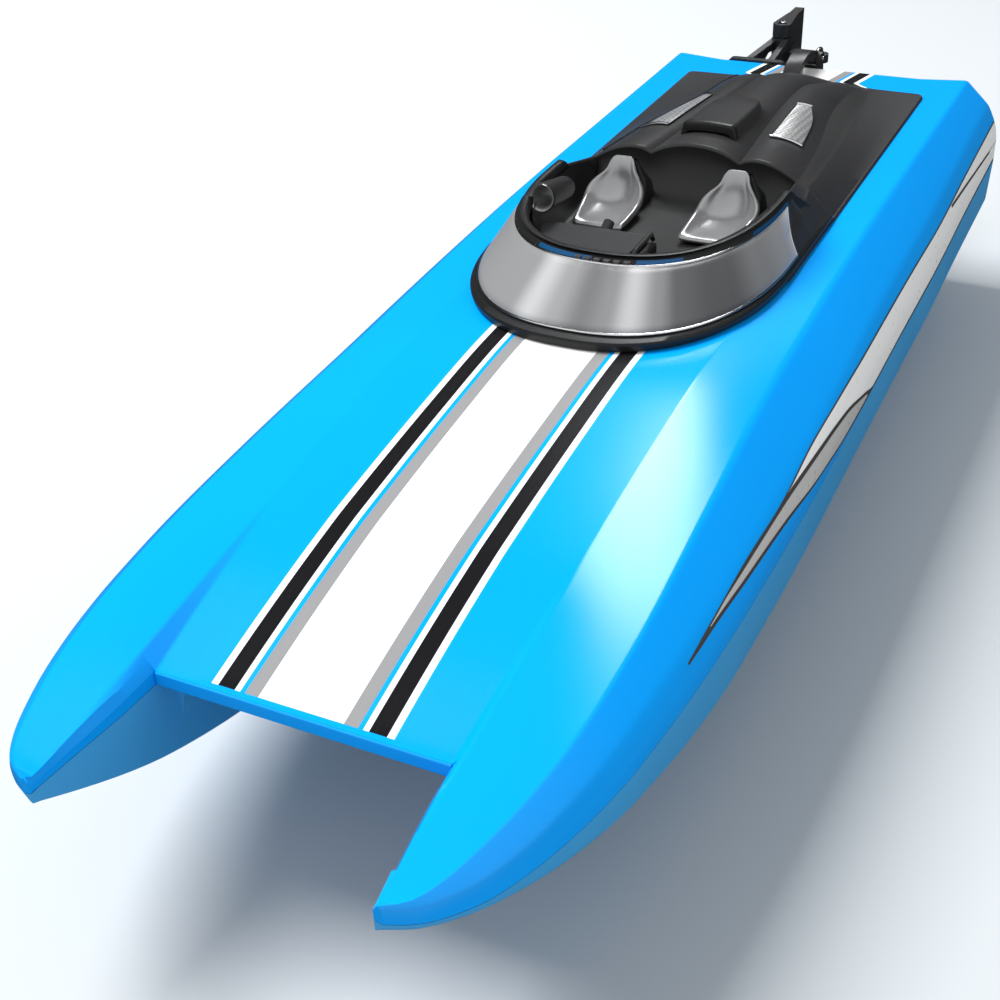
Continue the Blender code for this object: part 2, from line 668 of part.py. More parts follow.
def make_air_scoop():
    rings = []
    for t in spread(0, 1, 6):
        x = mix(0.0600, 0.0885, t)
        width = mix(0.0048, 0.0062, t ** 0.7)
        top = mix(0.0520, 0.0545, t)
        across = [-1, -0.5, 0, 0.5, 1]
        lower = [(x, a * width, hump_z(x, a * width) + 0.0005) for a in across]
        crown = [(x, a * width * 0.97, top - 0.0005 * a * a) for a in reversed(across)]
        rings.append(lower + crown)
    scoop = add_piece("air_scoop", loft(rings), BLACK_GLOSS)
    mouth = block((0.0840, -0.0048, 0.0531), (0.0900, 0.0048, 0.0538))
    cut(scoop, mouth)


def make_grille(name, side):
    rings = []
    for t in spread(0, 1, 7):
        x = mix(0.0540, 0.0820, t)
        inner = mix(0.0092, 0.0114, t)
        outer = mix(0.0146, 0.0189, t)
        ys = spread(inner, outer, 5)
        top = [(x, side * y, hump_z(x, y) + 0.0010) for y in ys]
        low = [(x, side * y, hump_z(x, y) + 0.0005) for y in reversed(ys)]
        rings.append(top + low)
    add_piece(name, loft(rings), SILVER)


# ---------------------------------------------------------------- canopy latch
def make_latch():
    x, y, z = LATCH_PIVOT
    half = LATCH_WIDTH / 2
    outer = [(0.0165, -0.0017), (0.0160, 0.0004), (0.0135, 0.0022), (0.0095, 0.0032),
             (0.0050, 0.0032), (0.0010, 0.0020)]
    under = [(0.0018, 0.0004), (0.0055, 0.0015), (0.0095, 0.0014), (0.0125, 0.0004),
             (0.0138, -0.0017)]
    eye = arc((0, 0), 0.0018, 70, 340, 9)
    latch = add_piece("canopy_latch", prism(outer + eye + under, -half, half, "Y"), BLACK_GLOSS,
                      LATCH_PIVOT)
    cut(latch, prism(circle((0, 0), 0.0006 + GAP, 12), -0.01, 0.01, "Y"))
    base = add_piece("latch_base", latch_base_shape(), BLACK_PLASTIC)
    for side in (-1, 1):
        middle = y + side * (half + GAP + 0.0006)
        lug = rounded_rectangle((x - 0.0016, 0.0385), (x + 0.0016, z + 0.0016), 0.0012, 3)
        join(base, prism(lug, middle - 0.0006, middle + 0.0006, "Y"))
    cut(base, prism(circle((x, z), 0.0006 + GAP, 12), y - 0.01, y + 0.01, "Y"))
    pin_half = half + GAP + 0.0016
    add_piece("latch_pin", turned(rod(-pin_half, pin_half, 0.0006), "Y", 12, LATCH_PIVOT), STEEL)


def latch_base_shape():
    half = LATCH_WIDTH / 2 + GAP + 0.0012
    return block((-0.0041, LATCH_Y - half, 0.0376), (-GAP, LATCH_Y + half, 0.0398))


# ---------------------------------------------------------------- rudder and steering
def teardrop(front_radius, tail, tail_half):
    """Plan outline around the rudder's axis: a round nose tapering aft."""
    return arc((0, 0), front_radius, -80, 80, 7) + [(-tail, tail_half), (-tail, -tail_half)]


def make_rudder():
    """Blade with its upper knuckle, lower knuckle and tiller in one moulding."""
    origin = (RUDDER_X, RUDDER_Y, 0.0)
    blade_outline = [(-0.0165, 0.0458), (-0.0036, 0.0458), (-0.0036, 0.0364), (-0.0024, 0.0340),
                     (-0.0024, 0.0000), (-0.0040, -0.0090), (-0.0060, -0.0118), (-0.0130, -0.0118),
                     (-0.0155, -0.0080)]
    rudder = add_piece("rudder", prism(blade_outline, -0.0013, 0.0013, "Y"), BLACK_PLASTIC, origin)
    join(rudder, prism(teardrop(0.0025, 0.0100, 0.0014), 0.0424, 0.0459))
    join(rudder, prism(teardrop(0.0025, 0.0100, 0.0014), 0.0364, 0.0388))
    arm = [(0.0020, 0.0)] + arc((0, TILLER_LENGTH), 0.0022, 0, 180, 7) + [(-0.0026, 0.0)]
    join(rudder, prism(arm, 0.0365, 0.0387))
    cut(rudder, prism(circle((0, 0), 0.0008 + GAP, 12), 0.0300, 0.0500))
    cut(rudder, prism(circle((0, TILLER_LENGTH), ROD_RADIUS + GAP, 12), 0.0300, 0.0500))


def make_rudder_bracket():
    plate = rounded_rectangle((-0.0250, 0.0290), (-0.0072 - 0.0018, 0.0405), 0.0018, 4)
    bracket = add_piece("rudder_bracket", prism(plate, -0.0022, -GAP, "X"), BLACK_PLASTIC)
    boss = circle((RUDDER_X, RUDDER_Y), 0.0026, 20)
    join(bracket, prism(boss, 0.0391, 0.0421))
    profile = [(-0.0015, 0.0325), (-0.0015, 0.0402), (RUDDER_X, 0.0419), (RUDDER_X, 0.0393),
               (-0.0112, 0.0393)]
    for side, foot_y in ((-1, -0.0200), (1, -0.0136)):
        arm = prism(profile, -0.0009, 0.0009, "Y")
        for vertex in arm.verts:
            vertex.co.y += mix(foot_y, RUDDER_Y + side * 0.0014, vertex.co.x / RUDDER_X)
        join(bracket, arm)
    cut(bracket, prism(circle((RUDDER_X, RUDDER_Y), 0.0008 + GAP, 12), 0.0300, 0.0500))
    for side, y in (("left", -0.0105), ("right", -0.0232)):
        cut(bracket, turned(rod(-0.004, 0.001, 0.0008 + GAP), "X", 12, (0, y, 0.0350)))
        add_piece(f"bracket_screw_{side}", screw_shape((-0.0022 - GAP, y, 0.0350), 0.0016), STEEL)


def screw_shape(seat, shank_length, head_radius=0.0015):
    """Domed screw lying along +X into the boat, its head resting on seat."""
    x, y, z = seat
    profile = [(-0.0012, 0), (-0.0010, 0.7 * head_radius), (-0.0004, head_radius), (0, head_radius),
               (0, 0.0008), (shank_length, 0.0008), (shank_length, 0)]
    return turned([(x + along, radius) for along, radius in profile], "X", 14, (0, y, z))


def make_rudder_pin():
    origin = (RUDDER_X, RUDDER_Y, 0)
    profile = rod(0.0352, 0.0462, 0.0008)
    add_piece("rudder_pin", turned(profile, "Z", 14, origin), STEEL)


def make_pushrod():
    """Steel rod from the servo horn, through the transom, up and over to the tiller."""
    rod_y = RUDDER_Y + TILLER_LENGTH
    rear_z = 0.0400
    reach = RUDDER_X - SERVO_X
    path = bent([(0, 0, 0.0322), (0, 0, ROD_Z), (-0.0400, 0, ROD_Z), (-0.0438, 0, rear_z),
                 (reach, 0, rear_z), (reach, 0, 0.0346)], 0.0010)
    add_piece("pushrod", sweep(path, ROD_RADIUS, 10), STEEL, (SERVO_X, rod_y, 0))


def make_rod_grommet():
    outer = rounded_rectangle((-0.0084, ROD_Z - 0.0021), (-0.0016, ROD_Z + 0.0019), 0.0018, 4)
    inner = rounded_rectangle((-0.0071, ROD_Z - 0.0010), (-0.0029, ROD_Z + 0.0010), 0.0009, 3)
    grommet = add_piece("rod_grommet", prism(outer, -0.0011, -GAP, "X"), RUBBER)
    cut(grommet, prism(inner, -0.004, 0.004, "X"))


def make_servo():
    """Steering servo: case with ears, horn and its screw, and the cradle it stands in."""
    x, y = SERVO_X, RUDDER_Y
    case = add_piece("servo_case", block((x - 0.0050, y - 0.0045, 0.0135), (x + 0.0150, y + 0.0045, 0.0315),
                                         0.0004), BLACK_PLASTIC)
    join(case, block((x - 0.0087, y - 0.0045, 0.0262), (x + 0.0187, y + 0.0045, 0.0274)))
    join(case, prism(circle((x, y), 0.0032, 18), 0.0310, 0.0325))
    cradle = add_piece("servo_cradle", block((x - 0.0087, y - 0.0052, 0.0106),
                                             (x + 0.0187, y + 0.0052, 0.0259)), BLACK_PLASTIC)
    cut(cradle, block((x - 0.0053, y - 0.0090, 0.0122), (x + 0.0153, y + 0.0090, 0.0300)))
    for end, screw_x in (("front", x + 0.0169), ("rear", x - 0.0069)):
        hole = prism(circle((screw_x, y), 0.0006 + GAP, 10), 0.0220, 0.0300)
        cut(case, hole.copy())
        cut(cradle, hole)
        profile = [(0.0225, 0), (0.0225, 0.0006), (0.0277, 0.0006), (0.0277, 0.0013), (0.0284, 0.0012),
                   (0.0287, 0)]
        add_piece(f"servo_screw_{end}", turned(profile, "Z", 12, (screw_x, y, 0)), STEEL)
    make_servo_horn()


def make_servo_horn():
    x, y = SERVO_X, RUDDER_Y
    arm = arc((0, 0), 0.0032, 170, 370, 12) + arc((0, TILLER_LENGTH), 0.0018, 10, 170, 7)
    horn = add_piece("servo_horn", prism(arm, 0.0328, 0.0343), ALUMINIUM, (x, y, 0))
    cut(horn, prism(circle((0, TILLER_LENGTH), ROD_RADIUS + GAP, 12), 0.0300, 0.0400))
    screw = [(0.0346, 0), (0.0346, 0.0014), (0.0352, 0.0013), (0.0354, 0)]
    add_piece("horn_screw", turned(screw, "Z", 12), STEEL, (x, y, 0))


# ---------------------------------------------------------------- drive line
def drive_empty():
    """Empty whose local X axis is the drive axis, rising forward."""
    empty = bpy.data.objects.new("drive_axis", None)
    empty.matrix_world = DRIVE_FRAME
    bpy.context.collection.objects.link(empty)
    return empty


def blade_ring(radius, chord, pitch_angle, thickness):
    """Cross section of a propeller blade at a radius, wrapped round the axis."""
    ring = []
    for across, offset in ((-1, 0), (-0.4, 1), (0.4, 1), (1, 0), (0.4, -1), (-0.4, -1)):
        run = across * chord / 2
        along = run * math.sin(pitch_angle) + offset * thickness / 2 * math.cos(pitch_angle)
        turn = (run * math.cos(pitch_angle) - offset * thickness / 2 * math.sin(pitch_angle)) / radius
        ring.append((along, radius * math.sin(turn), radius * math.cos(turn)))
    return ring


def make_propeller(empty):
    hub = turned([(-0.0030, 0.0013), (-0.0030, 0.0020), (0.0030, 0.0027), (0.0030, 0.0013)], "X", 18)
    prop = add_piece("propeller", hub, BLACK_PLASTIC, (PROP_U, 0, 0), empty)
    pitch = 0.030
    for number in range(3):
        rings = []
        for t in spread(0, 1, 6):
            radius = mix(0.0020, PROP_RADIUS - 0.0003, t)
            chord = 0.0075 * math.sin(math.pi * (0.28 + 0.66 * t)) + 0.0004
            angle = math.atan(pitch / (2 * math.pi * radius))
            rings.append(blade_ring(radius, chord * mix(0.62, 1.0, min(1.0, 2 * t)), min(angle, 1.0), 0.0009))
        blade = loft(rings)
        turn = Matrix.Rotation(2 * math.pi * number / 3, 4, "X")
        bmesh.ops.transform(blade, matrix=turn, verts=blade.verts)
        join(prop, blade)


def make_drive_line(empty):
    add_piece("drive_shaft", turned(rod(-0.0192, 0.0860, SHAFT_RADIUS), "X", 12), STEEL, parent=empty)
    tube = pipe(-0.0056, 0.0780, 0.0020, SHAFT_RADIUS + GAP)
    add_piece("stuffing_tube", turned(tube, "X", 16), BRASS, parent=empty)
    dog = [(-0.0092, 0.0013), (-0.0092, 0.0024), (-0.0080, 0.0030), (-0.0072, 0.0030), (-0.0072, 0.0013)]
    add_piece("drive_dog", turned(dog, "X", 16), BRASS, parent=empty)
    nut = add_piece("prop_nut", prism(circle((0, 0), 0.0022, 6), -0.0184, -0.0158, "X"), STEEL, parent=empty)
    cut(nut, turned(rod(-0.03, 0.0, 0.0013), "X", 12))
    make_propeller(empty)
    coupler = [(0.0790, 0.0013), (0.0790, 0.0034), (0.0796, 0.0038), (0.0944, 0.0038), (0.0950, 0.0034),
               (0.0950, 0.0013)]
    add_piece("shaft_coupler", turned(coupler, "X", 20), ALUMINIUM, parent=empty)
    add_piece("motor_shaft", turned(rod(0.0870, 0.1000, SHAFT_RADIUS), "X", 12), STEEL, parent=empty)


def make_motor(empty):
    rear, front = MOTOR_U
    radius = MOTOR_RADIUS
    can = [(rear, 0.0018), (rear, radius - 0.0006), (rear + 0.0006, radius), (front - 0.0058, radius),
           (front - 0.0052, radius - 0.0006), (front - 0.0052, 0), (rear + 0.003, 0), (rear + 0.003, 0.0018)]
    add_piece("motor_can", turned(can, "X", 28), STEEL, parent=empty)
    cap = [(front - 0.0049, 0), (front - 0.0049, radius - 0.0008), (front - 0.0012, radius - 0.0008),
           (front - 0.0004, radius - 0.0030), (front - 0.0004, 0.0030), (front + 0.0014, 0.0026),
           (front + 0.0014, 0)]
    add_piece("motor_end_cap", turned(cap, "X", 24), BLACK_PLASTIC, parent=empty)
    plate = rounded_rectangle((-0.0112, -0.0098), (0.0112, 0.0098), 0.0030, 4)
    mount = add_piece("motor_mount", tilted(prism(plate, rear - 0.0023, rear - GAP, "X")), ALUMINIUM)
    join(mount, block((0.0850, -0.0112, 0.0106), (0.0999, 0.0112, 0.0120)))
    cut(mount, tilted(turned(rod(0.09, 0.11, 0.0035), "X", 20)))
    for side, y in (("left", 0.0092), ("right", -0.0092)):
        cut(mount, prism(circle((0.0900, y), 0.0008 + GAP, 12), 0.0080, 0.0140))
        profile = [(0.0107, 0), (0.0107, 0.0008), (0.0123, 0.0008), (0.0123, 0.0016), (0.0130, 0.0013),
                   (0.0133, 0)]
        add_piece(f"mount_screw_{side}", turned(profile, "Z", 14, (0.0900, y, 0)), STEEL)
    for side, y in (("left", 0.0060), ("right", -0.0060)):
        cut(mount, tilted(turned(rod(0.09, 0.11, 0.0008 + GAP), "X", 12, (0, y, 0))))
        profile = [(rear - 0.0040, 0), (rear - 0.0038, 0.0012), (rear - 0.0026, 0.0016),
                   (rear - 0.0026, 0.0008), (rear - 0.0003, 0.0008), (rear - 0.0003, 0)]
        add_piece(f"motor_screw_{side}", turned(profile, "X", 14, (0, y, 0)), STEEL, parent=empty)


def make_strut():
    """Bracket under the transom that carries the tube's end and its bushing."""
    plate = rounded_rectangle((-0.0060, 0.0092), (0.0060, 0.0205), 0.0015, 4)
    strut = add_piece("strut", prism(plate, -0.0022, -GAP, "X"), ALUMINIUM)
    join(strut, block((-0.0050, -0.0011, 0.0070), (-0.0010, 0.0011, 0.0180)))
    join(strut, tilted(turned(rod(-0.0062, -0.0022, 0.0034), "X", 20)))
    cut(strut, tilted(turned(rod(-0.02, 0.02, 0.0020 + GAP), "X", 16)))
    for side, y in (("left", 0.0038), ("right", -0.0038)):
        cut(strut, turned(rod(-0.004, 0.001, 0.0008 + GAP), "X", 12, (0, y, 0.0165)))
        add_piece(f"strut_screw_{side}", screw_shape((-0.0022 - GAP, y, 0.0165), 0.0016, 0.0013), STEEL)


# ---------------------------------------------------------------- electrics
def make_battery():
    pack = block((0.0380, 0.0065, 0.0118), (0.0820, 0.0208, 0.0340), 0.0012)
    add_piece("battery_pack", pack, BATTERY_WRAP)
    outer = rectangle((0.0052, 0.0106), (0.0221, 0.0355))
    strap = add_piece("battery_strap", prism(outer, 0.0550, 0.0650, "X"), RUBBER)
    cut(strap, prism(rectangle((0.0062, 0.0060), (0.0211, 0.0343)), 0.0500, 0.0700, "X"))


def make_control_box():
    box = block((0.0520, -0.0205, 0.0106), (0.0800, -0.0060, 0.0215), 0.0008)
    add_piece("control_box", box, BLACK_PLASTIC)
    whip = bent([(0.0700, -0.0180, 0.0218), (0.0700, -0.0180, 0.0330), (0.1250, -0.0180, 0.0330)], 0.0030)
    add_piece("antenna", sweep(whip, 0.0006), BLACK_PLASTIC)


def make_leads():
    """Insulated leads: battery to control box, and control box to motor."""
    for number, (colour, look) in enumerate((("red", RED), ("black", RUBBER))):
        step = 0.0026 * number
        supply = [(0.0824, 0.0120 + step, 0.0280), (0.0870 + step, 0.0120 + step, 0.0280),
                  (0.0870 + step, -0.0090 - step, 0.0280), (0.0870 + step, -0.0090 - step, 0.0180),
                  (0.0804, -0.0090 - step, 0.0180)]
        add_piece(f"battery_lead_{colour}", sweep(bent(supply, 0.0014), 0.0009, 6), look)
        side = 2 * number - 1
        feed = [(0.0804, -0.0155 - step, 0.0180), (0.1380 + step, -0.0155 - step, 0.0180),
                (0.1380 + step, side * 0.0045, 0.0275), (0.1340, side * 0.0045, 0.0275)]
        add_piece(f"motor_lead_{colour}", sweep(bent(feed, 0.0024), 0.0009, 6), look)


def move_origin():
    """Carry the boat from the transom and keels to its own origin; children follow their empty."""
    for item in bpy.data.objects:
        if item.parent is None:
            item.location -= Vector((ORIGIN_X, 0, TUNNEL_ROOF_Z))


def main():
    clear_scene()
    make_deck_shell()
    make_hull_bottom()
    make_hatch_seal()
    make_canopy_cover()
    make_windshield()
    make_cockpit_tub()
    make_dashboard()
    make_steering_bar()
    make_dash_handle()
    make_seat("seat_left", 1)
    make_seat("seat_right", -1)
    make_intake()
    make_air_scoop()
    make_grille("grille_left", 1)
    make_grille("grille_right", -1)
    make_latch()
    make_rudder()
    make_rudder_bracket()
    make_rudder_pin()
    make_pushrod()
    make_rod_grommet()
    make_servo()
    empty = drive_empty()
    make_drive_line(empty)
    make_motor(empty)
    make_strut()
    make_battery()
    make_control_box()
    make_leads()
    move_origin()


main()
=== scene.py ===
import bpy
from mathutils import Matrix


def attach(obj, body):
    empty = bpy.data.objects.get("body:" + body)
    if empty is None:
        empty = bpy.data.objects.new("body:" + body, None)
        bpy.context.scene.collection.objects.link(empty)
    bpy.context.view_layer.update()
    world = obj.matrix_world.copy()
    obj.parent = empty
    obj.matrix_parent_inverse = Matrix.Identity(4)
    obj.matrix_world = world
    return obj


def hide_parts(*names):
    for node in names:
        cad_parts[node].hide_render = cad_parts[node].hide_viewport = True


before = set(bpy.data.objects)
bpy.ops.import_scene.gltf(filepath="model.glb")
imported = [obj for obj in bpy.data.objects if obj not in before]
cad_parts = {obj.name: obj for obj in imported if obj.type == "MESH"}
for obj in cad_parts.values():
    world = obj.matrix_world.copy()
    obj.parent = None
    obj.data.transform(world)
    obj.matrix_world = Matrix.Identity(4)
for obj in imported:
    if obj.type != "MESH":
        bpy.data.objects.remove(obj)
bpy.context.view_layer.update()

import math

import bmesh
import bpy
from mathutils import Matrix, Vector

# ------------------------------------------------------------------ hull lines, metres
SHIFT = Vector((-0.1050, 0.0, -0.0085))   # hull lines are laid out from the transom and keels
CREASE_Y = 0.0260
TUNNEL_Y = 0.0240
BOW_X = 0.2553
WALL = 0.0018          # thickness of the hull mouldings
CORE_DROP = 0.0060     # how far their hollow reaches past the seam
CHAMFER = math.radians(43)
KNUCKLE_Y = [(0.0, 0.0377), (0.10, 0.0373), (0.16, 0.0376), (0.20, 0.0388), (0.225, 0.0393),
             (0.24, 0.0389), (0.25, 0.0381), (0.26, 0.0365), (0.268, 0.0344), (0.274, 0.0323),
             (0.278, 0.0299), (0.28, 0.0266)]
CREASE_Z = [(0.0, 0.0400), (0.15, 0.0400), (0.165, 0.0398), (0.19, 0.0378), (0.28, 0.0256)]
CHAMFER_WIDTH = [(0.0, 0.0079), (0.04, 0.0092), (0.08, 0.0103), (0.16, 0.0104), (0.20, 0.0082),
                 (0.23, 0.0059), (0.25, 0.0047), (0.268, 0.0034), (0.28, 0.0006)]
SIDE_BULGE = [(0.0, 0.0032), (0.04, 0.0028), (0.20, 0.0025), (0.24, 0.0018), (0.26, 0.0010),
              (0.28, 0.0002)]
SEAM_OUTER_Z = [(0.0, 0.0214), (0.235, 0.0214), (0.268, 0.0221), (0.28, 0.0237)]
SEAM_INNER_Z = [(0.0, 0.0214), (0.20, 0.0214), (BOW_X, 0.0242), (0.28, 0.0242)]
INNER_Y = [(0.0, TUNNEL_Y), (BOW_X, TUNNEL_Y), (0.28, 0.0260)]
ROOF_Z = [(0.0, 0.0085), (0.13, 0.0085), (BOW_X, 0.0222)]


def mix(a, b, t):
    return a + (b - a) * t


def spread(start, end, count):
    return [mix(start, end, index / (count - 1)) for index in range(count)]


def line(points, x):
    """Monotone cubic through a few (x, value) points."""
    if x <= points[0][0]:
        return points[0][1]
    if x >= points[-1][0]:
        return points[-1][1]
    slopes = [(b[1] - a[1]) / (b[0] - a[0]) for a, b in zip(points, points[1:])]
    tangents = [slopes[0]]
    for before, after in zip(slopes, slopes[1:]):
        tangents.append(0.0 if before * after <= 0 else 2 * before * after / (before + after))
    tangents.append(slopes[-1])
    for index, (a, b) in enumerate(zip(points, points[1:])):
        if x <= b[0]:
            width = b[0] - a[0]
            t = (x - a[0]) / width
            return (a[1] + (b[1] - a[1]) * t * t * (3 - 2 * t) + width * tangents[index] * t * (1 - t) ** 2
                    - width * tangents[index + 1] * t * t * (1 - t))
    return points[-1][1]


def deck_z(x):
    return 0.0400 - 1.284 * max(0.0, min(x, BOW_X) - 0.1527) ** 2


def knuckle(x):
    return line(KNUCKLE_Y, x), 0.0408 - 0.0142 * (max(0.0, x - 0.08) / 0.2) ** 1.7


def foot(x):
    y, z = knuckle(x)
    width = line(CHAMFER_WIDTH, x)
    return y + width * math.cos(CHAMFER), z - width * math.sin(CHAMFER)


def side_y(x):
    return foot(x)[0] + line(SIDE_BULGE, x)


def side_point(x, t):
    """Point on the side wall: t 0 at the seam and 1 at the chamfer's foot."""
    foot_y, foot_z = foot(x)
    curve = 1.0 if t < 0.3 else 1 - ((t - 0.3) / 0.7) ** 2
    return foot_y + line(SIDE_BULGE, x) * curve, mix(line(SEAM_OUTER_Z, x), foot_z, t)


def chine(x):
    return side_y(x) - 0.0006, 0.0100 + 0.0126 * (max(0.0, x - 0.205) / 0.075) ** 1.5


def keel_z(x):
    return 0.0222 * (max(0.0, x - 0.2) / 0.08) ** 2


# ------------------------------------------------------------------ mesh helpers
def place(name, data):
    """New object with this data, in the scene."""
    made = bpy.data.objects.new(name, data)
    bpy.context.scene.collection.objects.link(made)
    return made


def rounded(points, radii, steps=4):
    """Polyline with its corners eased by short arcs; radius 0 keeps a point."""
    path = []
    for index, (point, radius) in enumerate(zip(points, radii)):
        here = Vector(point)
        if radius == 0 or index in (0, len(points) - 1):
            path.append(tuple(here))
            continue
        before, after = Vector(points[index - 1]) - here, Vector(points[index + 1]) - here
        start = here + before * min(0.45, radius / max(before.length, 1e-9))
        end = here + after * min(0.45, radius / max(after.length, 1e-9))
        for t in spread(0, 1, steps):
            path.append(tuple(start.lerp(here, t).lerp(here.lerp(end, t), t)))
    return path


def grid(rows, closed=False, caps=False):
    """Surface through rows of points; closed joins each row's ends, caps fills the first and last."""
    bm = bmesh.new()
    made = [[bm.verts.new(point) for point in row] for row in rows]
    for row, after in zip(made, made[1:]):
        last = len(row) if closed else len(row) - 1
        for index in range(last):
            following = (index + 1) % len(row)
            bm.faces.new((row[index], row[following], after[following], after[index]))
    if caps:
        bm.faces.new(list(reversed(made[0])))
        bm.faces.new(made[-1])
        if bm.calc_volume(signed=True) < 0:
            bmesh.ops.reverse_faces(bm, faces=bm.faces)
    return bm


def piece(name, bm, look, body, stands_for=(), sharp=40):
    mesh = bpy.data.meshes.new(name)
    bm.to_mesh(mesh)
    bm.free()
    mesh.transform(Matrix.Translation(SHIFT))
    mesh.materials.append(look)
    mesh.shade_smooth()
    if sharp:
        mesh.set_sharp_from_angle(angle=math.radians(sharp))
    made = place(name, mesh)
    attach(made, body)
    if stands_for:
        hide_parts(*stands_for)
    return made


def cut(target, *tools, sharp=35):
    """Take the tools out of the target with exact booleans, then drop them."""
    for bm in tools:
        mesh = bpy.data.meshes.new("tool")
        bm.to_mesh(mesh)
        bm.free()
        mesh.transform(Matrix.Translation(SHIFT))
        tool = place("tool", mesh)
        modifier = target.modifiers.new("cut", "BOOLEAN")
        modifier.object = tool
        modifier.operation = "DIFFERENCE"
        modifier.solver = "EXACT"
        evaluated = target.evaluated_get(bpy.context.evaluated_depsgraph_get())
        result = bpy.data.meshes.new_from_object(evaluated)
        target.modifiers.clear()
        target.data = result
        bpy.data.objects.remove(tool)
    target.data.shade_smooth()
    target.data.set_sharp_from_angle(angle=math.radians(sharp))


def bevel(target, width, segments=2, angle=35):
    modifier = target.modifiers.new("edge", "BEVEL")
    modifier.width = width
    modifier.segments = segments
    modifier.limit_method = "ANGLE"
    modifier.angle_limit = math.radians(angle)
    modifier.harden_normals = False


def thicken(target, thickness, offset=-1.0):
    modifier = target.modifiers.new("wall", "SOLIDIFY")
    modifier.thickness = thickness
    modifier.offset = offset


def subdivide(target, levels=1):
    modifier = target.modifiers.new("subdivision", "SUBSURF")
    modifier.levels = levels
    modifier.render_levels = levels


def prism(outline, low, high, axis="Z"):
    def corner(point, level):
        if axis == "Z":
            return (point[0], point[1], level)
        if axis == "Y":
            return (point[0], level, point[1])
        return (level, point[0], point[1])
    return grid([[corner(point, level) for point in outline] for level in (low, high)], True, True)


def arc(centre, radius, start, end, count):
    return [(centre[0] + radius * math.cos(math.radians(a)), centre[1] + radius * math.sin(math.radians(a)))
            for a in spread(start, end, count)]


def rounded_box(low, high, radius, count=6):
    return (arc((high[0] - radius, high[1] - radius), radius, 0, 90, count)
            + arc((low[0] + radius, high[1] - radius), radius, 90, 180, count)
            + arc((low[0] + radius, low[1] + radius), radius, 180, 270, count)
            + arc((high[0] - radius, low[1] + radius), radius, 270, 360, count))


def turned(profile, count=48, frame_matrix=Matrix.Identity(4)):
    """Turn an open profile of (along, radius) points about the local X axis."""
    rows = []
    for along, radius in profile:
        rows.append([frame_matrix @ Vector((along, radius * math.cos(a), radius * math.sin(a)))
                     for a in (2 * math.pi * index / count for index in range(count))])
    return grid(rows, True)


def sweep(path, radius, count=14):
    points = [Vector(point) for point in path]
    rings, side = [], None
    for index, point in enumerate(points):
        along = (points[min(index + 1, len(points) - 1)] - points[max(index - 1, 0)]).normalized()
        if side is None:
            side = along.orthogonal().normalized()
        else:
            side = (side - along * side.dot(along)).normalized()
        up = along.cross(side)
        rings.append([point + radius * (math.cos(a) * side + math.sin(a) * up)
                      for a in (2 * math.pi * step / count for step in range(count))])
    return grid(rings, True, True)


def bent(points, radius, count=7):
    corners = [Vector(point) for point in points]
    path = [corners[0]]
    for before, corner, after in zip(corners, corners[1:], corners[2:]):
        start = corner + (before - corner).normalized() * radius
        end = corner + (after - corner).normalized() * radius
        for t in spread(0, 1, count):
            path.append(start.lerp(corner, t).lerp(corner.lerp(end, t), t))
    return path + [corners[-1]]


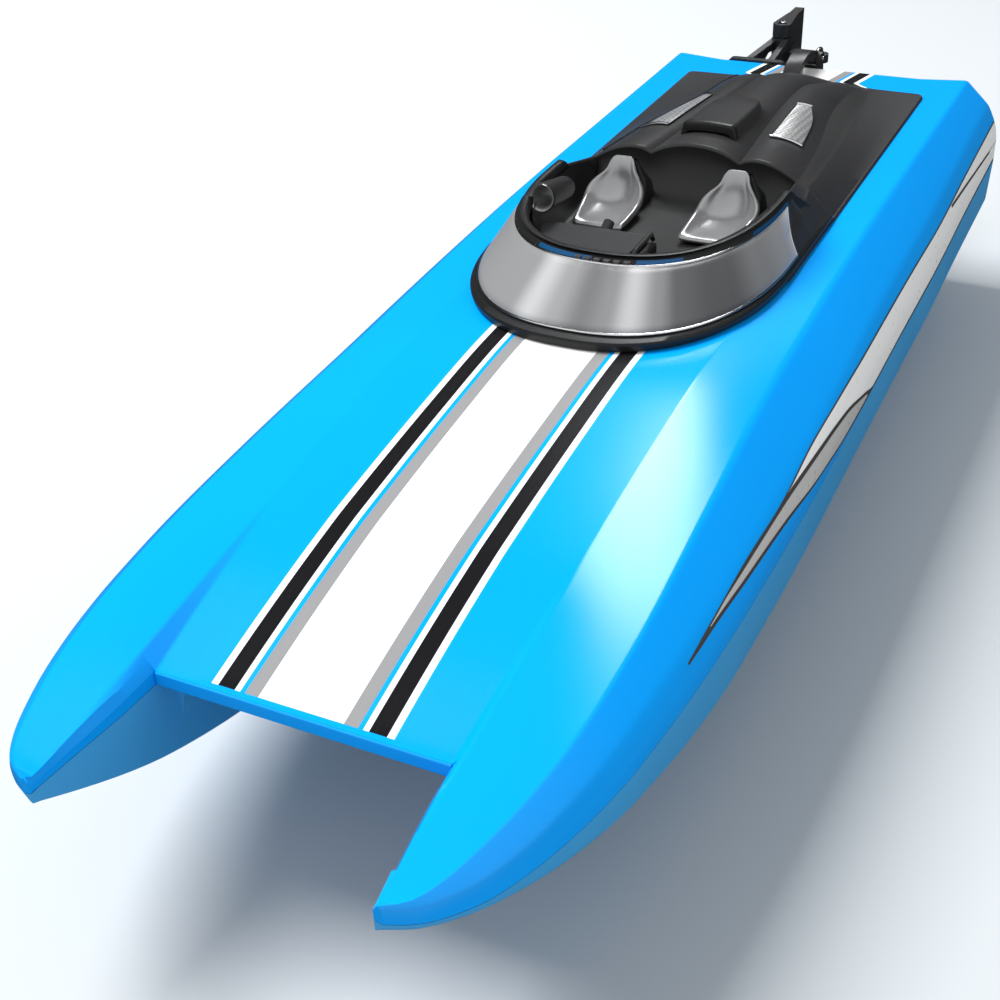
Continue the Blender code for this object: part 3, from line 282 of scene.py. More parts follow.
# ------------------------------------------------------------------ materials
class Nodes:
    """Short-hand for building a material's node tree."""

    def __init__(self, name):
        self.material = bpy.data.materials.new(name)
        self.material.use_nodes = True
        self.tree = self.material.node_tree
        self.shader = self.tree.nodes["Principled BSDF"]
        laid_out = self.add("ShaderNodeVectorMath", operation="SUBTRACT")
        self.tree.links.new(self.add("ShaderNodeTexCoord").outputs["Object"], laid_out.inputs[0])
        laid_out.inputs[1].default_value = SHIFT
        self.place = laid_out.outputs[0]

    def add(self, kind, **settings):
        node = self.tree.nodes.new(kind)
        for key, value in settings.items():
            setattr(node, key, value)
        return node

    def feed(self, socket, value):
        if isinstance(value, bpy.types.NodeSocket):
            self.tree.links.new(value, socket)
        elif isinstance(value, (tuple, list)) and len(value) == 3 and socket.type == "RGBA":
            socket.default_value = (*value, 1.0)
        else:
            socket.default_value = value

    def math(self, operation, a, b=0.0, c=0.0):
        node = self.add("ShaderNodeMath", operation=operation)
        for socket, value in zip(node.inputs, (a, b, c)):
            self.feed(socket, value)
        return node.outputs[0]

    def axis(self, index):
        node = self.add("ShaderNodeSeparateXYZ")
        self.feed(node.inputs[0], self.place)
        return node.outputs[index]

    def noise(self, scale, detail=3.0, stretch=None):
        node = self.add("ShaderNodeTexNoise")
        where = self.place
        if stretch:
            mapping = self.add("ShaderNodeMapping")
            self.feed(mapping.inputs["Vector"], where)
            mapping.inputs["Scale"].default_value = stretch
            where = mapping.outputs[0]
        self.feed(node.inputs["Vector"], where)
        node.inputs["Scale"].default_value = scale
        node.inputs["Detail"].default_value = detail
        return node.outputs["Fac"]

    def blend(self, factor, a, b):
        node = self.add("ShaderNodeMix", data_type="RGBA")
        self.feed(node.inputs[0], factor)
        self.feed(node.inputs[6], a)
        self.feed(node.inputs[7], b)
        return node.outputs[2]

    def span(self, value, low, high, soft=0.00004):
        """1 between low and high, with a narrow soft edge."""
        rise = self.math("MULTIPLY_ADD", value, 1 / soft, 0.5 - low / soft)
        fall = self.math("MULTIPLY_ADD", value, -1 / soft, 0.5 + high / soft)
        both = self.add("ShaderNodeMath", operation="MINIMUM", use_clamp=True)
        self.feed(both.inputs[0], rise)
        self.feed(both.inputs[1], fall)
        return both.outputs[0]

    def bump(self, height, distance):
        node = self.add("ShaderNodeBump")
        self.feed(node.inputs["Height"], height)
        node.inputs["Strength"].default_value = 1.0
        node.inputs["Distance"].default_value = distance
        self.feed(self.shader.inputs["Normal"], node.outputs[0])

    def set(self, colour, roughness, metallic=0.0, coat=0.0, specular=0.5):
        for key, value in (("Base Color", colour), ("Roughness", roughness), ("Metallic", metallic),
                           ("Coat Weight", coat), ("Specular IOR Level", specular)):
            self.feed(self.shader.inputs[key], value)
        self.shader.inputs["Coat Roughness"].default_value = 0.08
        return self.material


def grained(name, colour, roughness, metallic=0.0, coat=0.0, scale=900, depth=0.00002, vary=0.12,
            specular=0.5, stretch=None, uneven=0.16):
    """Moulded, cast or brushed finish: fine grain, uneven colour and uneven sheen."""
    nodes = Nodes(name)
    broad = nodes.noise(60, 2.0)
    fine = nodes.noise(scale, 4.0, stretch)
    dark = tuple(c * (1 - vary) for c in colour)
    light = tuple(min(1.0, c * (1 + vary)) for c in colour)
    mottle = nodes.math("ADD", nodes.math("MULTIPLY", broad, 0.6), nodes.math("MULTIPLY", fine, 0.4))
    shade = nodes.blend(mottle, dark, light)
    rough = nodes.math("MULTIPLY_ADD", fine, uneven, roughness - uneven / 2)
    nodes.bump(fine, depth)
    return nodes.set(shade, rough, metallic, coat, specular)


BLUE = (0.0006, 0.335, 0.93)
WHITE = (0.86, 0.86, 0.86)
GREY = (0.27, 0.27, 0.275)
BLACK = (0.010, 0.010, 0.011)


def deck_material():
    """Blue gloss moulding with racing stripes printed along the centre of the deck."""
    nodes = Nodes("deck_blue")
    x, y, z = nodes.axis(0), nodes.axis(1), nodes.axis(2)
    behind = nodes.math("LESS_THAN", x, 0.0300)
    kink = nodes.math("MULTIPLY", nodes.math("MAXIMUM", nodes.math("MULTIPLY", x, -0.24), nodes.math(
        "SUBTRACT", nodes.math("MULTIPLY", x, 1.2), 0.0130)), behind)
    across = nodes.math("ABSOLUTE", nodes.math("SUBTRACT", y, kink))
    broad = nodes.noise(25, 2.0)
    blue = nodes.blend(broad, tuple(c * 0.96 for c in BLUE), tuple(c * 1.04 for c in BLUE))
    colour = blue
    for low, high, ink in ((-0.01, 0.0069, WHITE), (0.0069, 0.0091, GREY), (0.0099, 0.0108, WHITE),
                           (0.0108, 0.01358, BLACK), (0.01358, 0.0147, WHITE)):
        colour = nodes.blend(nodes.span(across, low, high), colour, ink)
    top = nodes.math("GREATER_THAN", z, 0.0262)
    ahead = nodes.math("MAXIMUM", nodes.span(x, 0.1450, 0.2544), nodes.span(x, -0.01, 0.0240))
    colour = nodes.blend(nodes.math("MULTIPLY", top, ahead), blue, colour)
    fine = nodes.noise(1400, 2.0)
    nodes.bump(fine, 0.000004)
    return nodes.set(colour, nodes.math("MULTIPLY_ADD", broad, 0.05, 0.13), specular=0.36)


def lower_material():
    nodes = Nodes("lower_blue")
    broad = nodes.noise(30, 2.0)
    colour = nodes.blend(broad, (0.04, 0.33, 0.68), (0.06, 0.37, 0.74))
    fine = nodes.noise(1400, 2.0)
    nodes.bump(fine, 0.000004)
    return nodes.set(colour, nodes.math("MULTIPLY_ADD", broad, 0.06, 0.26), specular=0.45)


def windshield_material():
    """Silver paint with painted reflections (soft bright and dark bands painted round the screen by angle)
    and fine brush lines.
    """
    nodes = Nodes("screen_silver")
    x, y = nodes.axis(0), nodes.axis(1)
    turn = nodes.math("ARCTAN2", y, nodes.math("SUBTRACT", x, 0.1120))
    ramp = nodes.add("ShaderNodeValToRGB")
    nodes.feed(ramp.inputs[0], nodes.math("MULTIPLY_ADD", turn, 1 / math.pi, 0.5))
    ramp.color_ramp.interpolation = "EASE"
    # Painted reflection: grey levels by angle round the screen, bright and dark bands standing in for
    # surroundings mirrored in the silver
    painted_reflection_levels = ((0.0, 0.22), (0.30, 0.21), (0.42, 0.23), (0.448, 0.46), (0.48, 0.27), (0.514, 0.135),
              (0.543, 0.20), (0.569, 0.45), (0.60, 0.20), (0.625, 0.07), (0.67, 0.050), (0.70, 0.065),
              (0.77, 0.20), (0.87, 0.30), (1.0, 0.35))
    for number, (where, level) in enumerate(painted_reflection_levels):
        stop = ramp.color_ramp.elements[0] if number == 0 else ramp.color_ramp.elements.new(where)
        stop.position = where
        stop.color = (level, level, level * 1.01, 1.0)
    streak = nodes.add("ShaderNodeTexNoise", noise_dimensions="1D")
    nodes.feed(streak.inputs["W"], nodes.math("MULTIPLY", turn, 60.0))
    streak.inputs["Detail"].default_value = 6.0
    fine = streak.outputs["Fac"]
    colour = nodes.blend(nodes.math("MULTIPLY", fine, 0.08), ramp.outputs[0], (0.75, 0.75, 0.76))
    nodes.bump(fine, 0.000004)
    return nodes.set(colour, nodes.math("MULTIPLY_ADD", fine, 0.10, 0.34), metallic=0.12)


def mesh_material():
    """Woven wire pattern of the louvre panels."""
    nodes = Nodes("grille_mesh")
    x, y = nodes.axis(0), nodes.axis(1)
    wave = nodes.math("MULTIPLY", nodes.math("SINE", nodes.math("MULTIPLY", x, 2600.0)), 0.00012)
    rows = nodes.math("SINE", nodes.math("MULTIPLY", x, 6200.0))
    columns = nodes.math("SINE", nodes.math("MULTIPLY", nodes.math("ADD", y, wave), 5200.0))
    weave = nodes.math("MULTIPLY_ADD", nodes.math("MAXIMUM", rows, columns), 0.5, 0.5)
    colour = nodes.blend(weave, (0.16, 0.16, 0.17), (0.80, 0.80, 0.80))
    nodes.bump(weave, 0.00008)
    return nodes.set(colour, 0.30, metallic=0.7)


LOOKS = {
    "deck": deck_material(),
    "lower": lower_material(),
    "canopy": grained("canopy_black", (0.030, 0.030, 0.031), 0.34, scale=2200, depth=0.000005, specular=0.2),
    # Lighter copy of the canopy black: painted highlight for the strip from the hump foot to the shelf, which
    # faces the light
    "canopy_painted_highlight": grained("canopy_strip_painted_highlight", (0.040, 0.040, 0.0405), 0.36, scale=2200, depth=0.000005,
                            specular=0.2),
    "cockpit": grained("cockpit_black", (0.013, 0.013, 0.0135), 0.38, scale=1800, depth=0.000006,
                       specular=0.3),
    "plastic": grained("black_plastic", (0.017, 0.017, 0.018), 0.36, scale=2400, depth=0.00001, specular=0.4),
    "rubber": grained("rubber_black", (0.014, 0.014, 0.014), 0.75, scale=1500, depth=0.00002),
    "silver": grained("seat_silver", (0.40, 0.40, 0.405), 0.28, metallic=0.75, scale=900, depth=0.0000002,
                      vary=0.03, uneven=0.03),
    "rim": grained("rim_black", (0.013, 0.013, 0.0135), 0.36, scale=2200, depth=0.000004, specular=0.25),
    "slot_blue": grained("slot_blue", (0.001, 0.055, 0.15), 0.30, scale=1500, depth=0.000004),
    "chrome": grained("bright_trim", (0.86, 0.86, 0.87), 0.14, metallic=1.0, scale=900, depth=0.0000002,
                      vary=0.04, uneven=0.03),
    "screen": windshield_material(),
    "grille": mesh_material(),
    "steel": grained("wire_steel", (0.62, 0.62, 0.63), 0.24, metallic=1.0, scale=1500, depth=0.00001,
                     stretch=(0.1, 1, 1)),
    "brass": grained("turned_brass", (0.72, 0.50, 0.22), 0.28, metallic=1.0, scale=1800, depth=0.00001),
    "aluminium": grained("satin_aluminium", (0.72, 0.73, 0.75), 0.32, metallic=1.0, scale=1800,
                         depth=0.00001),
    "red": grained("red_insulation", (0.50, 0.012, 0.012), 0.42, scale=900),
    "black_wire": grained("black_insulation", (0.012, 0.012, 0.012), 0.42, scale=900),
    "wrap": grained("battery_wrap", (0.02, 0.08, 0.28), 0.30, coat=0.3, scale=500, depth=0.00004, vary=0.2),
    "case": grained("case_black", (0.02, 0.02, 0.022), 0.45, scale=1600, depth=0.00002),
    "print_light": grained("print_light", (0.86, 0.85, 0.84), 0.30, scale=700, depth=0.000004, vary=0.06),
    "print_grey": grained("print_grey", (0.50, 0.49, 0.48), 0.30, scale=700, depth=0.000004, vary=0.08),
    "print_dark": grained("print_dark", (0.060, 0.056, 0.054), 0.32, scale=700, depth=0.000004),
}


# ------------------------------------------------------------------ hull mouldings
def full_ring(x, half):
    return [(x, y, z) for y, z in half] + [(x, -y, z) for y, z in reversed(half)]


def deck_half(x, inset=0.0, drop=0.0):
    top_y, top_z = knuckle(x)
    foot_y, foot_z = foot(x)
    crease = line(CREASE_Z, x)
    edge_y = mix(CREASE_Y - 0.0002, TUNNEL_Y - 0.0002, max(0.0, (x - 0.215) / (BOW_X - 0.215)))
    if inset:
        wall, seam = side_y(x) - inset, line(SEAM_OUTER_Z, x)
        return [(CREASE_Y - 0.0010, line(SEAM_INNER_Z, x) - drop), (wall, seam - drop),
                (wall, mix(foot_z, seam, 0.7)), (foot_y - inset, foot_z - 0.4 * inset),
                (top_y - 0.4 * inset, top_z - inset), (CREASE_Y, crease - inset),
                (edge_y, min(deck_z(x), crease) - inset)]
    width = line(CHAMFER_WIDTH, x)
    side = [side_point(x, t) for t in (0.0, 0.15, 0.3, 0.45, 0.6, 0.75, 0.9)]
    corners = [(CREASE_Y - 0.0010, line(SEAM_INNER_Z, x))] + side + [
        (foot_y, foot_z), (top_y, top_z), (CREASE_Y, crease), (edge_y, min(deck_z(x), crease)),
        (0.0001, min(deck_z(x), crease))]
    radii = [0] + [0] * 7 + [0.12 * width, 0.09 * width, 0.0004, 0.0003, 0]
    return rounded(corners, radii)


def bottom_half(x, inset=0.0, rise=0.0):
    chine_y, chine_z = chine(x)
    inner = line(INNER_Y, x)
    keel_in = inner + inset
    keel_out = keel_in + min(0.0030, 0.3 * (chine_y - keel_in))
    roof = line(ROOF_Z, x) + inset
    corners = [(inner - 0.0015 + 0.6 * inset, roof),
               (keel_in, min(keel_z(x) + 0.0060, roof - 0.0002) if x < BOW_X else roof),
               (keel_in, keel_z(x) + inset), (keel_out, keel_z(x) + inset),
               (chine_y - inset, chine_z + 0.6 * inset),
               (side_y(x) - inset, line(SEAM_OUTER_Z, x) - 0.00012 + rise),
               (CREASE_Y - 0.0010, line(SEAM_INNER_Z, x) - 0.00012 + rise)]
    if inset:
        return corners
    return rounded(corners, [0, 0.0006, 0.0003, 0.0003, 0.0008, 0, 0])


def bow_notch(start=BOW_X):
    """Space between the sponsons ahead of the tunnel's lip."""
    rings = []
    for x in (start, BOW_X, 0.262, 0.268, 0.274, 0.280, 0.290):
        middle = line(INNER_Y, x)
        crease = line(CREASE_Z, x)
        low = mix(deck_z(BOW_X), 0.0250, min(1.0, max(0.0, x - BOW_X) / 0.0247))
        slope = (CREASE_Y - middle) / max(crease - low, 0.0004)
        half = [(middle, -0.01), (middle, low), (middle + min(slope * 0.02, 0.0122), low + 0.0200)]
        rings.append(full_ring(x, half))
    return grid(rings[0 if start < BOW_X else 1:], True, True)


def coarse(start, end):
    inside = spread(0.0, 0.16, 9) + spread(0.17, 0.24, 8) + spread(0.245, 0.275, 7)
    return [start] + [x for x in inside if start + 0.001 < x < end - 0.001] + [end]


def fine_stations():
    return ([0.0004] + spread(0.0040, 0.1500, 38) + spread(0.1525, 0.2700, 48)
            + spread(0.2712, 0.2788, 8) + [0.28])


def nose_hollow(side, section):
    return grid([[(x, side * y, z) for y, z in section(x)] for x in spread(0.2500, 0.2700, 5)], True, True)


def deck_nose(x):
    half = deck_half(x, WALL, CORE_DROP)
    inner = line(INNER_Y, x) + WALL
    return [(inner, half[0][1]), half[1], half[2], half[3], half[4], (CREASE_Y + 0.0009, half[5][1]),
            (inner, half[5][1] - 0.0025)]


def bottom_nose(x):
    half = bottom_half(x, WALL, CORE_DROP)
    inner = line(INNER_Y, x) + WALL
    return [(inner, half[2][1]), half[3], half[4], half[5], (inner, half[6][1])]


def eased_end(ring):
    """The ring in the transom's plane, drawn in a little so that the edge is rounded."""
    out = []
    for _, y, z in ring:
        keep = 0.0004 if abs(y) > 0.036 else 0.0
        top = 0.0003 if z > 0.0395 else 0.0
        out.append((0.0, y - math.copysign(keep * 0.7, y), z - top))
    return out


def hatch_outline(inset=0.0):
    return rounded_box((0.0340 + inset, -0.0215 + inset), (0.1460 - inset, 0.0215 - inset), 0.0040 - inset)


DRIVE = Matrix.Translation((0, 0, 0.0061)) @ Matrix.Rotation(-math.atan(0.15), 4, "Y")


def make_hull():
    rings = [full_ring(x, deck_half(x)) for x in fine_stations()]
    deck = piece("deck_surface", grid([eased_end(rings[0])] + rings, True, True), LOOKS["deck"],
                 "hull", ("deck_shell",))
    core = grid([full_ring(x, deck_half(x, WALL, CORE_DROP)) for x in coarse(WALL, 0.2535)], True, True)
    slot = rounded_box((-0.0072, 0.0343), (-0.0028, 0.0365), 0.0010)
    cut(deck, core, nose_hollow(1, deck_nose), nose_hollow(-1, deck_nose), bow_notch(),
        prism(hatch_outline(), 0.034, 0.044), prism(slot, -0.002, 0.004, "X"), sharp=20)

    rings = [full_ring(x, bottom_half(x)) for x in fine_stations()]
    lower = piece("bottom_surface", grid([[(0.0, y, z) for _, y, z in rings[0]]] + rings, True, True),
                  LOOKS["lower"], "hull", ("hull_bottom",))
    core = grid([full_ring(x, bottom_half(x, WALL, CORE_DROP)) for x in coarse(WALL, 0.2485)], True, True)
    bore = grid([[DRIVE @ Vector((u, 0.0023 * math.cos(a), 0.0023 * math.sin(a)))
                  for a in (2 * math.pi * k / 24 for k in range(24))] for u in (-0.02, 0.06)], True, True)
    cut(lower, core, nose_hollow(1, bottom_nose), nose_hollow(-1, bottom_nose), bow_notch(0.2513), bore,
        sharp=20)

    section = rounded_box((0.2532, 0.0241), (0.2556, 0.0265), 0.0003, 5)
    piece("bow_lip", prism(section, -0.02375, 0.02375, "Y"), LOOKS["deck"], "hull")


# Lines of the side flash: x along the hull, and height as a share of the side wall's height.
FLASH_TOP = [(0.0, 0.71), (0.06, 0.72), (0.09, 0.75), (0.13, 0.80), (0.15, 0.86), (0.166, 0.91),
             (0.185, 0.85), (0.200, 0.88), (0.215, 0.83), (0.2245, 0.76)]
FLASH_LOW = [(0.0, 0.02), (0.1315, 0.02), (0.147, 0.06), (0.1646, 0.27), (0.1847, 0.56), (0.2016, 0.68),
             (0.2165, 0.755), (0.2245, 0.755)]
FLASH_STREAK = [(0.0, 0.0), (0.128, 0.02), (0.1347, 0.20), (0.1477, 0.52), (0.1711, 0.76), (0.1834, 0.83),
                (0.2245, 0.90)]


def side_decal(name, top, low, start, end, look, lift):
    """Printed shape on both side walls, between two lines given as shares of the wall's height."""
    for side, label in ((1, "left"), (-1, "right")):
        rows = []
        for x in spread(start, end, 90):
            row = []
            for t in spread(low(x), max(top(x), low(x) + 0.002), 9):
                y, z = side_point(x, t)
                row.append((x, side * (y + lift), z))
            rows.append(row)
        piece(f"{name}_{label}", grid(rows), look, "hull", sharp=0)


def make_side_graphics():
    """Long grey flash with dark borders and a dark streak across it; it widens towards the stern."""
    side_decal("flash_border", lambda x: line(FLASH_TOP, x) + 0.02, lambda x: line(FLASH_LOW, x) - 0.02,
               0.0006, 0.2245, LOOKS["print_dark"], 0.00003)
    side_decal("flash_grey", lambda x: min(line(FLASH_TOP, x) - 0.005, line(FLASH_STREAK, x) - 0.025),
               lambda x: line(FLASH_LOW, x) + 0.05, 0.1330, 0.2160, LOOKS["print_grey"], 0.00006)
    side_decal("flash_light", lambda x: line(FLASH_TOP, x) - 0.005,
               lambda x: max(line(FLASH_LOW, x), line(FLASH_STREAK, x)) + 0.05, 0.0009, 0.1800,
               LOOKS["print_light"], 0.00006)
    side_decal("flash_streak", lambda x: 0.36 + 6.2 * x, lambda x: 0.31 + 6.2 * x + 0.04 * (x < 0.01),
               0.0009, 0.0560, LOOKS["print_dark"], 0.00009)


# ------------------------------------------------------------------ canopy
CENTRE_Z = [(0.0145, 0.0414), (0.019, 0.0440), (0.025, 0.0462), (0.04, 0.0496), (0.063, 0.0512),
            (0.097, 0.0527)]
VALLEY = ([(0.0145, 0.0090), (0.025, 0.0080), (0.04, 0.0062), (0.097, 0.0097)],
          [(0.0145, 0.0412), (0.019, 0.0430), (0.025, 0.0444), (0.04, 0.0478), (0.06, 0.0491),
           (0.097, 0.0500)])
SIDE_CREST = ([(0.0145, 0.0120), (0.04, 0.0098), (0.097, 0.0145)],
              [(0.0145, 0.0412), (0.019, 0.0430), (0.025, 0.0448), (0.04, 0.0480), (0.06, 0.0494),
               (0.097, 0.0508)])
HUMP_FOOT = ([(0.0145, 0.0155), (0.04, 0.0156), (0.08, 0.0207), (0.097, 0.0220)],
             [(0.0145, 0.0411), (0.025, 0.0435), (0.04, 0.0452), (0.097, 0.0477)])
SHELF = ([(0.0145, 0.0171), (0.06, 0.0221), (0.097, 0.0243)],
         [(0.0145, 0.0411), (0.025, 0.0417), (0.04, 0.0425), (0.06, 0.0437), (0.097, 0.0464)])
EDGE_Y, EDGE_Z, EDGE_LOW_Z = 0.0302, 0.0409, 0.0406
FOOT_LEVEL = (0.1240, 0.0428, 0.0299, 0.0405)   # coaming: centre x, length ahead, half width, height
TOP_LEVEL = (0.1150, 0.0365, 0.0248, 0.0503)
BLUNTNESS = 2.4        # power of the coaming's superellipse
COVER_BACK_X = 0.0145
COVER_CORNER = 0.0026
COCKPIT_X = 0.0970     # where the humps end
FLOOR_Z = 0.0423
QUARTER_TURN = math.pi / 2
SEAT_X, SEAT_Y = 0.1100, 0.0122


def canopy_piece(name, bm, look, stands_for=(), sharp=40):
    return piece(name, bm, LOOKS[look], "canopy", stands_for, sharp)


def at(pair, x):
    return line(pair[0], x), line(pair[1], x)


def hump_profile(x):
    """Section of the rear canopy from the edge to the centre, as (y, z)."""
    valley, crest, hump_foot, shelf = at(VALLEY, x), at(SIDE_CREST, x), at(HUMP_FOOT, x), at(SHELF, x)
    centre = line(CENTRE_Z, x)
    share = (crest[0] - valley[0]) / (hump_foot[0] - valley[0])
    swell = crest[1] - mix(valley[1], hump_foot[1], share)
    points = [(EDGE_Y, EDGE_LOW_Z), (EDGE_Y, EDGE_Z - 0.0003), (EDGE_Y - 0.0003, EDGE_Z)]
    points += [(mix(EDGE_Y - 0.0006, shelf[0] + 0.0002, t), mix(EDGE_Z, shelf[1], t))
               for t in spread(0, 1, 4)]
    points += [(mix(shelf[0] - 0.0001, hump_foot[0] + 0.0002, t),
                mix(shelf[1] + 0.0001, hump_foot[1] - 0.0001, t)) for t in spread(0, 1, 4)]
    for s in spread(1, 0, 13):
        bump = swell * 1.12 * math.sin(math.pi * s ** 0.86) ** 0.8 if 0 < s < 1 else 0.0
        points.append((mix(valley[0], hump_foot[0], s), mix(valley[1], hump_foot[1], s) + max(0.0, bump)))
    for s in spread(0.97, 0, 11):
        points.append((valley[0] * s, centre - (centre - valley[1]) * s ** 2.3))
    return points


def hump_z(x, y):
    profile = hump_profile(x)
    for outer, inner in zip(profile, profile[1:]):
        if inner[0] <= abs(y) <= outer[0] and outer[0] > inner[0]:
            return mix(inner[1], outer[1], (abs(y) - inner[0]) / (outer[0] - inner[0]))
    return profile[-1][1]


def outline(t, offset, tail_x, z, count=49):
    """The coaming's plan at height z: t 0 at its foot and 1 at its top, open towards the stern."""
    centre, length, width, _ = (mix(a, b, t) for a, b in zip(FOOT_LEVEL, TOP_LEVEL))
    points = []
    for angle in spread(-math.pi / 2, math.pi / 2, count):
        ahead = abs(math.cos(angle)) ** (2 / BLUNTNESS)
        across = math.copysign(abs(math.sin(angle)) ** (2 / BLUNTNESS), angle)
        points.append((centre + (length + offset) * ahead, (width + offset) * across, z))
    side = width + offset
    tail = [(mix(tail_x, centre, k / 4), -side, z) for k in range(4)]
    return tail + points + [(x, -y, z) for x, y, z in reversed(tail)]


def level(z):
    return (z - FOOT_LEVEL[3]) / (TOP_LEVEL[3] - FOOT_LEVEL[3])


def deck_top_z(x, y):
    """Height of the deck under the canopy's rim."""
    if abs(y) < CREASE_Y:
        return deck_z(x)
    top_y, top_z = knuckle(x)
    return mix(line(CREASE_Z, x), top_z, min(1.0, (abs(y) - CREASE_Y) / (top_y - CREASE_Y)))


def make_canopy():
    xs = ([COVER_BACK_X, 0.0147, 0.0152] + spread(0.0160, 0.0300, 15) + spread(0.0320, 0.0960, 33)
          + [COCKPIT_X])
    rows = []
    for x in xs:
        half = hump_profile(x)
        if x < 0.0146:
            half = [(y, min(z, 0.0408)) for y, z in half]
        elif x < 0.0150:
            half = [(y, mix(0.0408, z, 0.6)) for y, z in half]
        corner = max(0.0, COVER_CORNER - (x - COVER_BACK_X))
        inset = COVER_CORNER - math.sqrt(max(0.0, COVER_CORNER ** 2 - corner ** 2))
        half = [(min(y, EDGE_Y - inset * 0.9) if y > 0.02 else y, z) for y, z in half]
        rows.append([(x, y, z) for y, z in half] + [(x, -y, z) for y, z in reversed(half[:-1])])
    back = [(COVER_BACK_X, y, 0.0404) for _, y, _ in rows[0]]
    cover = canopy_piece("canopy_skin", grid([back] + rows), "canopy",
                  ("canopy_cover",), sharp=30)
    cover.data.materials.append(LOOKS["canopy_painted_highlight"])
    # Faces of the strip between hump foot and shelf get the painted highlight copy
    for face in cover.data.polygons:
        x, y, _ = face.center - SHIFT
        face.material_index = int(at(HUMP_FOOT, x)[0] < abs(y) < at(SHELF, x)[0] and face.normal.z ** 2 > 0.2)
    crown = cover.data.polygons[200]
    thicken(cover, 0.0011, -1.0 if crown.normal.z > 0 else 1.0)

    for side, label in ((1, "left"), (-1, "right")):
        rows = []
        for x in spread(0.0950, 0.1290, 35):
            s = min(1.0, max(0.0, (x - COCKPIT_X) / 0.0126))
            drop = 0.00006 if x < COCKPIT_X else 0.0
            shelf, hump_foot = at(SHELF, x), at(HUMP_FOOT, x)
            shelf = (mix(shelf[0], 0.0262, s), mix(shelf[1], 0.0458, s) - drop)
            ridge = (mix(hump_foot[0], 0.0238, s), mix(hump_foot[1], 0.0500, s) - drop)
            half = [(EDGE_Y, EDGE_LOW_Z), (EDGE_Y, EDGE_Z - 0.0003), (EDGE_Y - 0.0003, EDGE_Z - drop)]
            half += [(mix(EDGE_Y - 0.0006, shelf[0] + 0.0002, t), mix(EDGE_Z - drop, shelf[1], t))
                     for t in spread(0, 1, 4)]
            half += [(mix(shelf[0], ridge[0], t), mix(shelf[1], ridge[1], t)) for t in spread(0.05, 1, 5)]
            half += [(ridge[0] - 0.0003, ridge[1] - 0.0001), (ridge[0] - 0.0005, ridge[1] - 0.0004),
                     (ridge[0] - 0.0006, 0.0425)]
            rows.append([(x, side * y, z) for y, z in half])
        shelf_piece = canopy_piece(f"side_shelf_{label}", grid(rows), "canopy",
                            sharp=30)
        shelf_piece.data.materials.append(LOOKS["canopy_painted_highlight"])
        faces_per_row = len(rows[0]) - 1
        # Columns 6 to 10 of the front rows, the rise from shelf to ridge, get the painted highlight copy
        for number, face in enumerate(shelf_piece.data.polygons):
            row, column = divmod(number, faces_per_row)
            face.material_index = int(6 <= column <= 10 and row < 13)

    def follow(ring):
        return [(x, y, max(z, deck_top_z(x, y) + 0.0003)) for x, y, z in ring]

    rim = [follow(outline(0.0, -0.0022, COCKPIT_X, 0.0300)), follow(outline(0.0, -0.0002, COCKPIT_X, 0.0300)),
           [(x, y, max(z, 0.0300)) for x, y, z in outline(0.0, 0.0, COCKPIT_X, 0.0411)],
           outline(0.0, 0.0, COCKPIT_X, 0.0414), outline(0.0, -0.0002, COCKPIT_X, 0.0417),
           outline(level(0.0419), -0.0006, 0.0972, 0.0419), outline(level(0.0420), -0.0013, 0.0975, 0.0421)]
    rim += [outline(level(z), -0.0013, mix(0.0980, 0.1090, level(z) ** 1.4), z)
            for z in spread(0.0425, 0.0498, 5)]
    rim += [outline(level(z), offset, tail, z) for z, offset, tail in (
        (0.0499, -0.0010, 0.1096), (0.0500, 0.0000, 0.1097), (0.0502, 0.0004, 0.1099),
        (0.0506, 0.0004, 0.1102), (0.0511, 0.0001, 0.1106))]
    rim += [outline(1.0, offset, tail, z) for z, offset, tail in (
        (0.0514, -0.0003, 0.1109), (0.0515, -0.0008, 0.1111), (0.0514, -0.0014, 0.1111),
        (0.0511, -0.0019, 0.1108), (0.0503, -0.0021, 0.1102), (0.0470, -0.0022, 0.1060),
        (0.0430, -0.0023, 0.1000))]
    ring = grid(rim)
    ring.verts.ensure_lookup_table()
    width = len(rim[0])
    ring.faces.new([ring.verts[k * width] for k in range(len(rim))])
    ring.faces.new([ring.verts[k * width + width - 1] for k in reversed(range(len(rim)))])
    canopy_piece("coaming", ring, "rim", sharp=50)
    for number, (start, end) in enumerate(((4, 11), (22, 29), (32, 38), (46, 53))):
        low = outline(level(0.0502), 0.00047, 0.1100, 0.0502)[start:end]
        top = outline(level(0.0507), 0.00047, 0.1104, 0.0507)[start:end]
        canopy_piece(f"coaming_slot_{number}", grid([low, top]), "slot_blue",
              sharp=0)
    for number, y in enumerate(spread(-0.0026, 0.0066, 6)):
        ahead = TOP_LEVEL[0] + 0.0370 * (1 - (abs(y) / 0.0253) ** BLUNTNESS) ** (1 / BLUNTNESS)
        section = rounded_box((ahead - 0.0008, y - 0.0006), (ahead + 0.0003, y + 0.0006), 0.0002, 3)
        canopy_piece(f"coaming_vent_{number}", prism(section, 0.0500, 0.0506), "print_dark")

